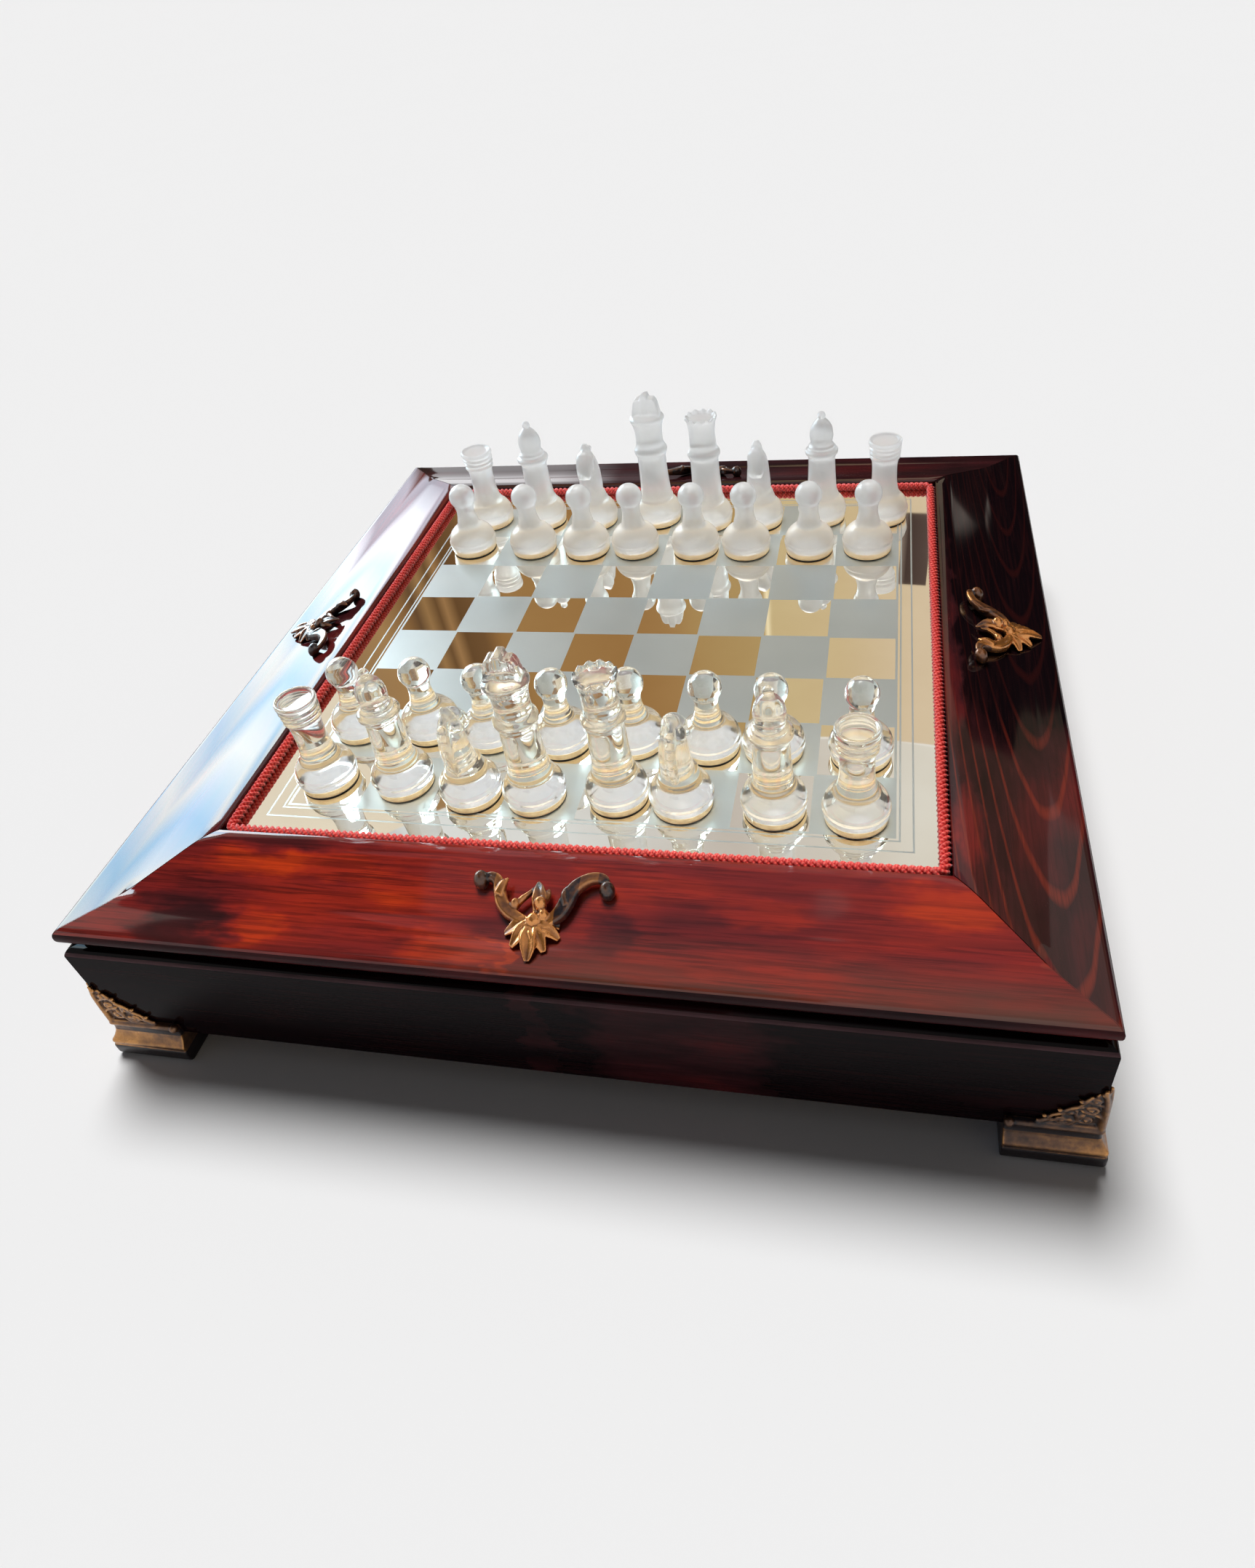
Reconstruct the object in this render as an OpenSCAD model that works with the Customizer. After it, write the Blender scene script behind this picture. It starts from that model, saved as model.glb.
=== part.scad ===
// Square hardwood chess box with a mirror-glass board on top, a drawer in each
// end for the men, four cast corner feet and a full set of glass chessmen.
// Millimetres. +Z is up, the plain front faces -Y, the drawers open to -X and +X.
// The origin is under the middle of the box, on the plane the feet stand on.

/* [Board] */
// Side of one chess square
square_size = 27; // [26.5:0.5:27.5]
// Plain margin between the squares and the edge of the glass
board_border = 17; // [16:0.5:18]
// Thickness of the mirror glass
glass_t = 4; // [3:0.5:4.5]
// Thickness of the plywood under the glass
backing_t = 4; // [3:0.5:4.5]
// Diameter of the twisted cord round the glass
cord_d = 4; // [3:0.25:4.5]

/* [Top frame] */
// Width of a rail from the glass to its outer edge
rail_w = 43.75; // [42:0.25:46]
// Height of the rail's inner edge above the glass
rail_rise = 3.75; // [3:0.25:5]
// Drop of the outer lip below the glass
lip_drop = 4.2; // [3.5:0.1:5]
// Thickness of the outer lip
lip_t = 6.8; // [6:0.2:8]
// Shadow gap between the top frame and the base
gap_h = 3; // [2:0.5:4]

/* [Base] */
// Height of the base walls
base_h = 45; // [43:1:50]
// Thickness of the base walls
wall_t = 12; // [11:0.5:13]
// Plywood floor thickness
floor_t = 4; // [3:0.5:4]
// Clearance under the base walls
foot_drop = 13; // [12:0.5:15]

/* [Drawers] */
// Width of a drawer opening
drawer_open_w = 236; // [220:1:240]
// Thickness of the drawer sides and back
drawer_side_t = 8; // [6:0.5:9]
// Thickness of the drawer bottom
drawer_bottom_t = 3; // [2.5:0.5:4]
// How far a drawer slides out
drawer_travel = 100; // [70:1:100]
// Radius of the pull ring's centre line
pull_ring_r = 8; // [7:0.5:8.5]
// Radius of the pull ring's wire
pull_wire_r = 1.1; // [0.9:0.05:1.2]

/* [Chessmen] */
// Height of the kings
king_h = 64; // [60:1:68]

/* [Hidden] */
// heights
z_base = foot_drop;
z_base_top = z_base + base_h;
z_rail = z_base_top + gap_h;
z_lip = z_rail + lip_t;
z_glass = z_lip + lip_drop;
z_edge = z_glass + rail_rise;
z_floor = z_base + 1;
z_floor_top = z_floor + floor_t;
// half widths
board_w = 8*square_size + 2*board_border;
rail_in = board_w/2 + 0.25;
rail_out = rail_in + rail_w;
wall_out = rail_out + 0.5;
wall_in = wall_out - wall_t;
ledge_in = rail_in - 7;
spacer_out = wall_out - 5;
spacer_in = wall_in - 17.5;
screw_at = wall_in - 9.5;
// drawers
win_half = drawer_open_w/2;
win_top = z_base_top - 6;
side_top = win_top - 3;
drawer_low = z_floor_top + 0.3;
drawer_half = win_half - 0.5;
bottom_low = drawer_low + 1.7;
back_at = 5;
stop_at = back_at + drawer_side_t + drawer_travel + 0.3;
ring_off = 3.6;
ring_top_z = (z_floor_top + win_top)/2 + pull_ring_r - 2;
// chessmen
k = king_h/64;
men = ["rook", "bishop", "knight", "king", "queen", "knight", "bishop", "rook"];
clear_back_off = [[-3, 0], [0.5, 0], [1, -3.5], [-2, -3.5], [0.5, -1.5], [-3.5, -3], [1, -3.5], [1, -5]];
clear_pawn_off = [[-2, 2], [0, 3], [-1, 0], [0.5, -1.5], [1, 0], [2, -1], [-2, -1.5], [1.5, -2]];
frosted_back_off = [[-0.5, 1.5], [1, 1.5], [1, 0.5], [6, 2.5], [5, -1.5], [2.5, -0.5], [5, 2.5], [6.5, 2.5]];
frosted_pawn_off = [[-1.5, 2.5], [3, 1.5], [3, 0.5], [0, 1], [2, 0.5], [-1, 0], [1, 0], [0, 0.5]];

wood = [0.35, 0.12, 0.08];
ply = [0.72, 0.58, 0.40];
gilt = [0.72, 0.52, 0.24];
steel = [0.62, 0.62, 0.64];
mirror_colour = [0.74, 0.70, 0.60];
cord_colour = [0.78, 0.20, 0.18];
clear_glass = [0.80, 0.86, 0.88];
frosted_glass = [0.92, 0.92, 0.90];

// points along an arc, angles in degrees
function arc(cx, cy, r, a0, a1, n) =
  [for (i = [0:n]) [cx + r*cos(a0 + (a1 - a0)*i/n), cy + r*sin(a0 + (a1 - a0)*i/n)]];

// a box from its two corners
module block(lo, hi) {
  translate(lo)
    cube(hi - lo);
}

// ---------------------------------------------------------------- top frame

// slope of the rail's flank, and the radii that ease into and out of it
flank = 18.3;
ease_r = 20;
cove_r = 40;
// height lost over the flank as a whole
flank_top = [rail_in + 1.75 + ease_r*sin(flank), z_edge - ease_r*(1 - cos(flank))];
flank_low = [flank_top[0] + 13.7, flank_top[1] - 13.7*tan(flank)];
lip_start = [flank_low[0] + cove_r*sin(flank), flank_low[1] - cove_r*(1 - cos(flank))];

// section of a rail: x is the distance from the middle of the board, y the height
module rail_section() {
  nose = 3;
  polygon(concat(
    [[ledge_in, z_rail], [rail_out - nose, z_rail]],
    arc(rail_out - nose, z_rail + nose, nose, -90, 0, 6),
    arc(rail_out - nose, z_lip - nose, nose, 0, 90, 6),
    [[lip_start[0] + 3, lip_start[1] - 0.2]],
    arc(lip_start[0], lip_start[1] + cove_r, cove_r, -90, -90 - flank, 6),
    arc(rail_in + 1.75, z_edge - ease_r, ease_r, 90 - flank, 90, 5),
    [[rail_in + 0.4, z_edge], [rail_in, z_edge - 0.4], [rail_in, z_glass - glass_t - backing_t],
      [ledge_in, z_glass - glass_t - backing_t]]));
}

// the solid of one side, running along X with its outside towards -Y, mitred at both ends
module mitred(half) {
  intersection() {
    translate([half, 0, 0])
      rotate([90, 0, -90])
        linear_extrude(2*half)
          children();
    linear_extrude(200)
      polygon([[0, 0], [-half, -half], [half, -half]]);
  }
}

module screw_places(side) {
  rotate([0, 0, 90*side])
    for (x = [-80, 0, 80])
      translate([x, -screw_at, 0])
        children();
}

module rail(side) {
  difference() {
    rotate([0, 0, 90*side])
      mitred(rail_out)
        rail_section();
    screw_places(side)
      translate([0, 0, z_rail - 1])
        cylinder(r = 1.75, h = 5.5, $fn = 32);
  }
}

module frame_rail_front() {
  color(wood)
    rail(0);
}

module frame_rail_right() {
  color(wood)
    rail(1);
}

module frame_rail_back() {
  color(wood)
    rail(2);
}

module frame_rail_left() {
  color(wood)
    rail(3);
}

module mirror_board() {
  h = board_w/2;
  color(mirror_colour)
    translate([0, 0, z_glass - glass_t])
      linear_extrude(glass_t)
        polygon([[-h, 2 - h], [2 - h, -h], [h - 2, -h], [h, 2 - h],
          [h, h - 2], [h - 2, h], [2 - h, h], [-h, h - 2]]);
}

module board_backing() {
  color(ply)
    translate([-board_w/2, -board_w/2, z_glass - glass_t - backing_t])
      cube([board_w, board_w, backing_t]);
}

// the cord lies on the glass against the wood, pressed a little flat under itself
module cord_trim() {
  c = rail_in - cord_d/2 - 0.02;
  turn = 3;
  color(cord_colour)
    difference() {
      translate([0, 0, z_glass + cord_d/2 - 0.15])
        union() {
          for (i = [0:3])
            rotate([0, 0, 90*i]) {
              translate([turn - c, -c, 0])
                rotate([0, 90, 0])
                  cylinder(d = cord_d, h = 2*(c - turn), $fn = 40);
              translate([c - turn, turn - c, 0])
                rotate([0, 0, -90])
                  rotate_extrude(angle = 90, $fn = 64)
                    translate([turn, 0])
                      circle(d = cord_d, $fn = 40);
            }
        }
      translate([-rail_in - 1, -rail_in - 1, z_glass - 5])
        cube([2*rail_in + 2, 2*rail_in + 2, 5]);
    }
}

// ------------------------------------------------------- cast scroll mounts

// a bent round bar lying flat: centre, bend radius, start angle, sweep, bar radius
module bent_bar(c, bend, start, sweep, r) {
  translate([c[0], c[1], 0])
    rotate([0, 0, start])
      rotate_extrude(angle = sweep, $fn = 64)
        translate([bend, 0])
          circle(r = r, $fn = 32);
}

// outline of the five-pointed leaf, pointing to -Y
module leaf_outline() {
  polygon([[-4, -150], [-6.5, -152.2], [-9.6, -156.4], [-5.6, -155.9], [-7.4, -158.2], [-5.8, -161],
    [-3, -158.8], [-2.2, -162.2], [0, -165.6], [1.9, -162.4], [2.6, -158.9], [5, -161.2],
    [6.9, -158.4], [5.5, -156], [9.4, -156.8], [7, -152.6], [4.8, -150], [1.6, -148.5], [-1.6, -148.5]]);
}

// one casting, drawn with its leaf pointing to -Y over the front rail
module scroll_mount() {
  slope = 17;
  difference() {
    union() {
      // the two arms lie along the sloping flank
      translate([0, -145, z_glass - 0.9])
        rotate([slope, 0, 0])
          translate([0, 145, 0]) {
            translate([-21.4, -141.2, 0.4])
              sphere(r = 3, $fn = 48);
            bent_bar([-18.2, -141.5], 3.2, 0, 180, 1.8);
            bent_bar([-5.2, -141.5], 10, 180, 90, 2);
            translate([20.6, -140.2, 0.4])
              sphere(r = 3, $fn = 48);
            bent_bar([16.6, -140.2], 4, 0, 135, 1.8);
            bent_bar([22.96, -146.56], 13, 135, 46, 1.9);
            bent_bar([2.96, -146.56], 7, -80, 81, 2);
            bent_bar([-6.4, -146.6], 2.4, 60, 250, 1.3);
            translate([2.2, -148.4, 0.8])
              sphere(r = 1.9, $fn = 40);
            translate([0, 0, -2])
              linear_extrude(3.4)
                polygon([[-2.6, -152], [-4, -145.5], [-2.6, -141.5], [-1.4, -138.2], [0.6, -141.2],
                  [1.6, -145.2], [1.2, -152]]);
          }
      // the leaf bends down on to the flat lip
      translate([0, -150, z_glass - 2.6])
        rotate([5, 0, 0])
          translate([0, 150, 0]) {
            translate([0, 0, -4])
              linear_extrude(5.2)
                leaf_outline();
            translate([0, -149, 0.8])
              rotate([90, 0, 0])
                cylinder(r1 = 1.9, r2 = 0.6, h = 14.5, $fn = 32);
            for (a = [-38, 38])
              translate([0, -149.5, 0.6])
                rotate([0, 0, a])
                  rotate([90, 0, 0])
                    cylinder(r1 = 1.7, r2 = 0.5, h = 10, $fn = 32);
            translate([0, -150.5, 1.2])
              sphere(r = 2.7, $fn = 40);
          }
    }
    // the casting is bedded on the rail
    translate([40, 0, 0])
      rotate([90, 0, -90])
        linear_extrude(80)
          union() {
            rail_section();
            translate([ledge_in, z_rail - 12])
              square([rail_w + 7, 15]);
          }
  }
}

mount_shift = [-1, 6, -5, -2];

module scroll_mounts() {
  color(gilt)
    for (i = [0:3])
      rotate([0, 0, 90*i])
        translate([mount_shift[i], 0, 0])
          scroll_mount();
}

// --------------------------------------------------------------------- base

module wall_section() {
  top_r = 3;
  polygon(concat(
    [[wall_in, z_base], [wall_out, z_base]],
    arc(wall_out - top_r, z_base_top - top_r, top_r, 0, 90, 6),
    [[wall_in, z_base_top], [wall_in, z_floor_top], [wall_in + 6, z_floor_top],
      [wall_in + 6, z_floor], [wall_in, z_floor]]));
}

module wall(side) {
  rotate([0, 0, 90*side])
    mitred(wall_out)
      wall_section();
}

module end_wall(side) {
  s = side == 1 ? 0 : -1;
  difference() {
    wall(side);
    block([s*200, -win_half, z_floor_top], [s*200 + 200, win_half, win_top]);
  }
}

module base_wall_front() {
  color(wood)
    wall(0);
}

module base_wall_back() {
  color(wood)
    wall(2);
}

module base_wall_right() {
  color(wood)
    end_wall(1);
}

module base_wall_left() {
  color(wood)
    end_wall(3);
}

module base_floor() {
  h = wall_in + 6;
  color(ply)
    block([-h, -h, z_floor], [h, h, z_floor_top]);
}

// a square ring that closes the shadow gap and ties the base to the top frame
module spacer_frame() {
  color(wood)
    difference() {
      block([-spacer_out, -spacer_out, z_base_top], [spacer_out, spacer_out, z_rail]);
      block([-spacer_in, -spacer_in, z_base_top - 1], [spacer_in, spacer_in, z_rail + 1]);
      for (side = [0:3])
        screw_places(side)
          translate([0, 0, z_base_top - 1])
            cylinder(r = 1.9, h = gap_h + 2, $fn = 32);
    }
}

// wood screws, heads under the spacer ring
module screws() {
  color(steel)
    for (side = [0:3])
      screw_places(side)
        difference() {
          union() {
            translate([0, 0, z_base_top - 2])
              cylinder(r1 = 2.6, r2 = 3.6, h = 1, $fn = 40);
            translate([0, 0, z_base_top - 1])
              cylinder(r = 3.6, h = 1, $fn = 40);
            translate([0, 0, z_base_top - 1])
              cylinder(r = 1.75, h = gap_h + 4.5, $fn = 32);
            translate([0, 0, z_rail + 3.5])
              cylinder(r1 = 1.75, r2 = 0.6, h = 1, $fn = 32);
          }
          for (a = [0, 90])
            rotate([0, 0, a])
              block([-2, -0.4, z_base_top - 3], [2, 0.4, z_base_top - 1]);
        }
}

module centre_divider() {
  color(ply)
    block([-4, -win_half, z_floor_top], [4, win_half, z_base_top]);
}

// side guides, the kickers above the drawer sides and the stop bars
module drawer_runners() {
  color(ply)
    for (m = [0, 1])
      mirror([m, 0, 0])
        union() {
          for (n = [0, 1])
            mirror([0, n, 0]) {
              block([0, win_half, z_floor_top], [wall_in, win_half + 8, z_base_top]);
              block([4, win_half - 10, win_top - 0.5], [wall_in, win_half + 1, z_base_top]);
            }
          block([stop_at, -win_half, win_top + 0.5], [stop_at + 8, win_half, z_base_top]);
        }
}

// --------------------------------------------------------------- corner feet

// the flared side of a foot: distance from the middle of the box, height
module foot_section() {
  w = wall_out;
  polygon([[w - 26.5, 0], [w + 3, 0], [w + 4, 0.6], [w + 4.6, 2], [w + 4.6, 6], [w + 4.1, 6.9],
    [w + 4.5, 8], [w + 4, 9], [w + 3, 10.4], [w + 2.1, 12.4], [w + 1.6, 14.6], [w + 1.6, 15.9],
    [w + 2.1, 16.4], [w + 2.3, 17], [w + 2.1, 17.7], [w + 1.5, 18.2], [w - 26.5, 18.2]]);
}

// pierced scrollwork on one face of a foot; x runs in from the corner, y is the height
module filigree_wing() {
  difference() {
    polygon([[-1.7, 17.5], [19, 17.5], [18.6, 20.5], [15.6, 22.4], [15.2, 25.5], [12, 27.6], [10.8, 31],
      [7.6, 32.6], [7, 36.5], [4.2, 38.2], [3.4, 41.6], [1, 43], [-1.7, 42]]);
    translate([3.8, 22.8])
      circle(r = 2.5, $fn = 32);
    translate([3.6, 29.6])
      circle(r = 2.2, $fn = 32);
    translate([10.2, 22.6])
      circle(r = 2.2, $fn = 32);
    translate([1.6, 36])
      circle(r = 1.6, $fn = 32);
  }
}

module corner_foot() {
  w = wall_out;
  difference() {
    union() {
      intersection() {
        // the section seen from the front, and the same seen from the side
        translate([0, 0, 0])
          rotate([90, 0, 0])
            linear_extrude(200)
              foot_section();
        translate([0, 0, 0])
          rotate([90, 0, 90])
            linear_extrude(200)
              mirror([1, 0, 0])
                foot_section();
      }
      // scrollwork on both faces
      translate([w, -w + 0.1, 0])
        rotate([90, 0, 0])
          linear_extrude(1.8)
            mirror([1, 0, 0])
              filigree_wing();
      translate([w - 0.1, -w, 0])
        rotate([90, 0, 90])
          linear_extrude(1.8)
            filigree_wing();
      // a bud at the inner end of each wing
      translate([w - 24.5, -w - 1.2, 19.4])
        sphere(r = 2.2, $fn = 40);
      translate([w + 1.2, -w + 24.5, 19.4])
        sphere(r = 2.2, $fn = 40);
      // raised scrolls
      for (c = [[12.4, 20.4, 2.1], [7, 26.2, 2], [2.6, 33, 1.8]]) {
        translate([w - c[0], -w - 1.4, c[1]])
          rotate([90, 0, 0])
            rotate_extrude($fn = 48)
              translate([c[2], 0])
                circle(r = 0.8, $fn = 24);
        translate([w + 1.4, -w + c[0], c[1]])
          rotate([0, 90, 0])
            rotate_extrude($fn = 48)
              translate([c[2], 0])
                circle(r = 0.8, $fn = 24);
      }
    }
    // the corner of the base sits in the foot
    block([0, -w, z_base], [w, 0, z_base + 60]);
  }
}

module corner_feet() {
  color(gilt)
    for (i = [0:3])
      rotate([0, 0, 90*i])
        corner_foot();
}

// ------------------------------------------------------------------- drawers

// everything of the right-hand drawer; the left one is its mirror image
module drawer_front_r() {
  lo = drawer_low + 0.2;
  hi = win_top - 0.5;
  difference() {
    translate([0, drawer_half, 0])
      rotate([90, 0, 0])
        linear_extrude(2*drawer_half)
          polygon([[wall_in, lo], [wall_out - 0.6, lo], [wall_out, lo + 0.6], [wall_out, hi - 0.6],
            [wall_out - 0.6, hi], [wall_in, hi]]);
    block([wall_in - 1, -drawer_half + 4, bottom_low],
      [wall_in + 4, drawer_half - 4, bottom_low + drawer_bottom_t]);
  }
}

module drawer_sides_r() {
  t = drawer_side_t;
  difference() {
    union() {
      block([back_at, -drawer_half, drawer_low], [wall_in, drawer_half, side_top]);
      block([back_at, -90, drawer_low], [back_at + t, 90, win_top + 4]);
    }
    block([back_at + t, -drawer_half + t, drawer_low - 1], [wall_in + 1, drawer_half - t, side_top + 9]);
    block([back_at + t - 4, -drawer_half + 4, bottom_low],
      [wall_in + 1, drawer_half - 4, bottom_low + drawer_bottom_t]);
  }
}

module drawer_bottom_r() {
  block([back_at + drawer_side_t - 4, -drawer_half + 4, bottom_low],
    [wall_in + 4, drawer_half - 4, bottom_low + drawer_bottom_t]);
}

module pull_plate_r() {
  x = wall_out + ring_off;
  difference() {
    union() {
      translate([wall_out, 0, ring_top_z - pull_ring_r + 2])
        rotate([0, 90, 0])
          cylinder(r1 = 9.5, r2 = 8.8, h = 1.1, $fn = 72);
      translate([wall_out + 1, 0, ring_top_z - pull_ring_r + 2])
        rotate([0, 90, 0])
          rotate_extrude($fn = 72)
            translate([8.2, 0])
              circle(r = 0.5, $fn = 24);
      translate([x - 0.4, 1.2, ring_top_z])
        rotate([90, 0, 0])
          cylinder(r = 2.5, h = 2.4, $fn = 48);
      block([wall_out + 0.5, -1.2, ring_top_z - 2.4], [x - 0.4, 1.2, ring_top_z + 2.4]);
    }
    translate([x, 3, ring_top_z])
      rotate([90, 0, 0])
        cylinder(r = pull_wire_r + 0.25, h = 6, $fn = 40);
  }
}

module pull_ring_r_side() {
  translate([wall_out + ring_off, 0, ring_top_z - pull_ring_r])
    rotate([0, 90, 0])
      rotate_extrude($fn = 96)
        translate([pull_ring_r, 0])
          circle(r = pull_wire_r, $fn = 32);
}

module right_drawer_front() {
  color(wood)
    drawer_front_r();
}

module right_drawer_sides() {
  color(ply)
    drawer_sides_r();
}

module right_drawer_bottom() {
  color(cord_colour)
    drawer_bottom_r();
}

module right_pull_plate() {
  color(gilt)
    pull_plate_r();
}

module right_pull_ring() {
  color(gilt)
    pull_ring_r_side();
}

module left_drawer_front() {
  color(wood)
    mirror([1, 0, 0])
      drawer_front_r();
}

module left_drawer_sides() {
  color(ply)
    mirror([1, 0, 0])
      drawer_sides_r();
}

module left_drawer_bottom() {
  color(cord_colour)
    mirror([1, 0, 0])
      drawer_bottom_r();
}

module left_pull_plate() {
  color(gilt)
    mirror([1, 0, 0])
      pull_plate_r();
}

module left_pull_ring() {
  color(gilt)
    mirror([1, 0, 0])
      pull_ring_r_side();
}

// ------------------------------------------------------------------ chessmen

// felt disc, straight glass band and bell-shaped foot, up to a stem of radius r at height 14.5
function foot_points(r) = [[0, 0], [10.6, 0], [10.6, 1], [10.9, 1], [11.2, 1.4], [11.2, 5], [10.9, 5.5],
  [10.5, 6], [10.2, 7.4], [9.6, 9], [8.7, 10.6], [7.6 + (r - 5.8)/2, 12], [r + 0.6, 13.3], [r, 14.5]];

module turned(points) {
  rotate_extrude($fn = 72)
    scale(k)
      polygon(points);
}

module pawn() {
  turned(concat(foot_points(5.6), [[4.9, 16.5], [4.5, 19], [4.4, 21.5]],
    arc(0, 28, 6, -42, 90, 12)));
}

module rook() {
  turned(concat(foot_points(5.8), [[5.5, 16.5], [5.2, 20], [5.2, 26], [5.5, 30], [6.2, 32.5], [7.2, 34.2],
    [7.6, 35], [7.6, 36], [7.2, 36.3], [7.2, 36.9], [7.7, 37.2], [7.7, 38.2], [7.3, 38.5], [7.3, 39.1],
    [7.9, 39.4], [7.9, 40.4], [8.2, 41], [8.2, 42], [6.4, 42], [6.1, 39.8], [0, 39.8]]));
}

module bishop() {
  turned(concat(foot_points(5.9), [[5.4, 17.5], [4.8, 23], [4.4, 29], [4.3, 33.5], [5.6, 34.6], [6, 35.2],
    [5.7, 35.9], [5, 36.2], [5.6, 36.7], [5.6, 37.3], [4.4, 38], [4.1, 39], [4.5, 41], [4.6, 42.5],
    [4.4, 45], [3.6, 47.4], [2.3, 49.2]], arc(0, 51.3, 1.7, -40, 90, 6)));
}

module queen() {
  difference() {
    turned(concat(foot_points(6.6), [[6.3, 18], [6, 26], [6, 34], [6.2, 36], [7, 37.2], [7, 39], [6.1, 40],
      [5.5, 41.5], [5.4, 45], [5.8, 49], [6.6, 52], [7.4, 54.2], [7.4, 55], [5.8, 55], [5, 52.4],
      [0, 52.4]]));
    for (i = [0:7])
      rotate([0, 0, 45*i + 22.5])
        translate([7*k, 0, 56.2*k])
          sphere(r = 2.1*k, $fn = 32);
  }
}

module king() {
  union() {
    turned(concat(foot_points(7), [[6.6, 17], [6.1, 23], [5.8, 30], [5.8, 36], [6.2, 37.5], [7.2, 38.8],
      [7.2, 40.4], [6.4, 41.2], [5.2, 41.8], [4.9, 43], [5.1, 46], [5.6, 50], [6.3, 53], [6.7, 54],
      [6.7, 55], [5.8, 55.6], [3.4, 56.4], [1.9, 57.2], [0, 57.4]]));
    translate([0, 1.6*k, 0])
      rotate([90, 0, 0])
        linear_extrude(3.2*k)
          scale(k)
            union() {
              translate([-1.3, 55.5])
                square([2.6, 6.5]);
              translate([0, 62])
                circle(r = 2, $fn = 40);
              translate([-2.2, 58.6])
                square([4.4, 2.8]);
              translate([-2.2, 60])
                circle(r = 1.5, $fn = 40);
              translate([2.2, 60])
                circle(r = 1.5, $fn = 40);
            }
  }
}

// the horse looks towards +Y
module knight() {
  union() {
    turned(concat(foot_points(6.6), [[6.8, 15.2], [6.8, 16], [6, 16.6], [0, 16.8]]));
    translate([-3.8*k, 0, 0])
      rotate([90, 0, 90])
        linear_extrude(7.6*k)
          scale(k)
            polygon([[-5.2, 15.5], [-6.2, 19], [-6.6, 24], [-5.8, 29.5], [-4.4, 34], [-2.6, 37.6],
              [-1.1, 39.4], [-0.7, 41], [0.6, 39.2], [2, 37.8], [4, 35.2], [6.2, 31.6], [7.6, 28.8],
              [7.4, 26.8], [6.2, 25.8], [4.8, 26.2], [3.6, 27.8], [2, 28.2], [1.6, 26.6], [2.8, 23.4],
              [4.4, 20], [5.2, 17.4], [5.2, 15.5]]);
  }
}

module man(kind) {
  if (kind == "rook") rook();
  if (kind == "bishop") bishop();
  if (kind == "knight") knight();
  if (kind == "king") king();
  if (kind == "queen") queen();
  if (kind == "pawn") pawn();
}

module place(file, rank, off, turn) {
  translate([(file - 3.5)*square_size + off[0], (rank - 3.5)*square_size + off[1], z_glass])
    rotate([0, 0, turn])
      children();
}

module clear_man(file) {
  color(clear_glass)
    place(file, 0, clear_back_off[file], 0)
      man(men[file]);
}

module clear_pawn(file) {
  color(clear_glass)
    place(file, 1, clear_pawn_off[file], 0)
      pawn();
}

module frosted_man(file) {
  color(frosted_glass)
    place(file, 7, frosted_back_off[file], 180)
      man(men[file]);
}

module frosted_pawn(file) {
  color(frosted_glass)
    place(file, 6, frosted_pawn_off[file], 0)
      pawn();
}

module clear_rook_a() clear_man(0);
module clear_bishop_b() clear_man(1);
module clear_knight_c() clear_man(2);
module clear_king_d() clear_man(3);
module clear_queen_e() clear_man(4);
module clear_knight_f() clear_man(5);
module clear_bishop_g() clear_man(6);
module clear_rook_h() clear_man(7);
module clear_pawn_a() clear_pawn(0);
module clear_pawn_b() clear_pawn(1);
module clear_pawn_c() clear_pawn(2);
module clear_pawn_d() clear_pawn(3);
module clear_pawn_e() clear_pawn(4);
module clear_pawn_f() clear_pawn(5);
module clear_pawn_g() clear_pawn(6);
module clear_pawn_h() clear_pawn(7);
module frosted_rook_a() frosted_man(0);
module frosted_bishop_b() frosted_man(1);
module frosted_knight_c() frosted_man(2);
module frosted_king_d() frosted_man(3);
module frosted_queen_e() frosted_man(4);
module frosted_knight_f() frosted_man(5);
module frosted_bishop_g() frosted_man(6);
module frosted_rook_h() frosted_man(7);
module frosted_pawn_a() frosted_pawn(0);
module frosted_pawn_b() frosted_pawn(1);
module frosted_pawn_c() frosted_pawn(2);
module frosted_pawn_d() frosted_pawn(3);
module frosted_pawn_e() frosted_pawn(4);
module frosted_pawn_f() frosted_pawn(5);
module frosted_pawn_g() frosted_pawn(6);
module frosted_pawn_h() frosted_pawn(7);

frame_rail_front();
frame_rail_back();
frame_rail_left();
frame_rail_right();
mirror_board();
board_backing();
cord_trim();
scroll_mounts();
base_wall_front();
base_wall_back();
base_wall_left();
base_wall_right();
base_floor();
spacer_frame();
centre_divider();
drawer_runners();
corner_feet();
screws();
left_drawer_front();
left_drawer_sides();
left_drawer_bottom();
left_pull_plate();
left_pull_ring();
right_drawer_front();
right_drawer_sides();
right_drawer_bottom();
right_pull_plate();
right_pull_ring();
clear_rook_a();
clear_bishop_b();
clear_knight_c();
clear_king_d();
clear_queen_e();
clear_knight_f();
clear_bishop_g();
clear_rook_h();
clear_pawn_a();
clear_pawn_b();
clear_pawn_c();
clear_pawn_d();
clear_pawn_e();
clear_pawn_f();
clear_pawn_g();
clear_pawn_h();
frosted_rook_a();
frosted_bishop_b();
frosted_knight_c();
frosted_king_d();
frosted_queen_e();
frosted_knight_f();
frosted_bishop_g();
frosted_rook_h();
frosted_pawn_a();
frosted_pawn_b();
frosted_pawn_c();
frosted_pawn_d();
frosted_pawn_e();
frosted_pawn_f();
frosted_pawn_g();
frosted_pawn_h();
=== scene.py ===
import math
from functools import partial

import bmesh
import bpy
from mathutils import Matrix, Vector


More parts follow.
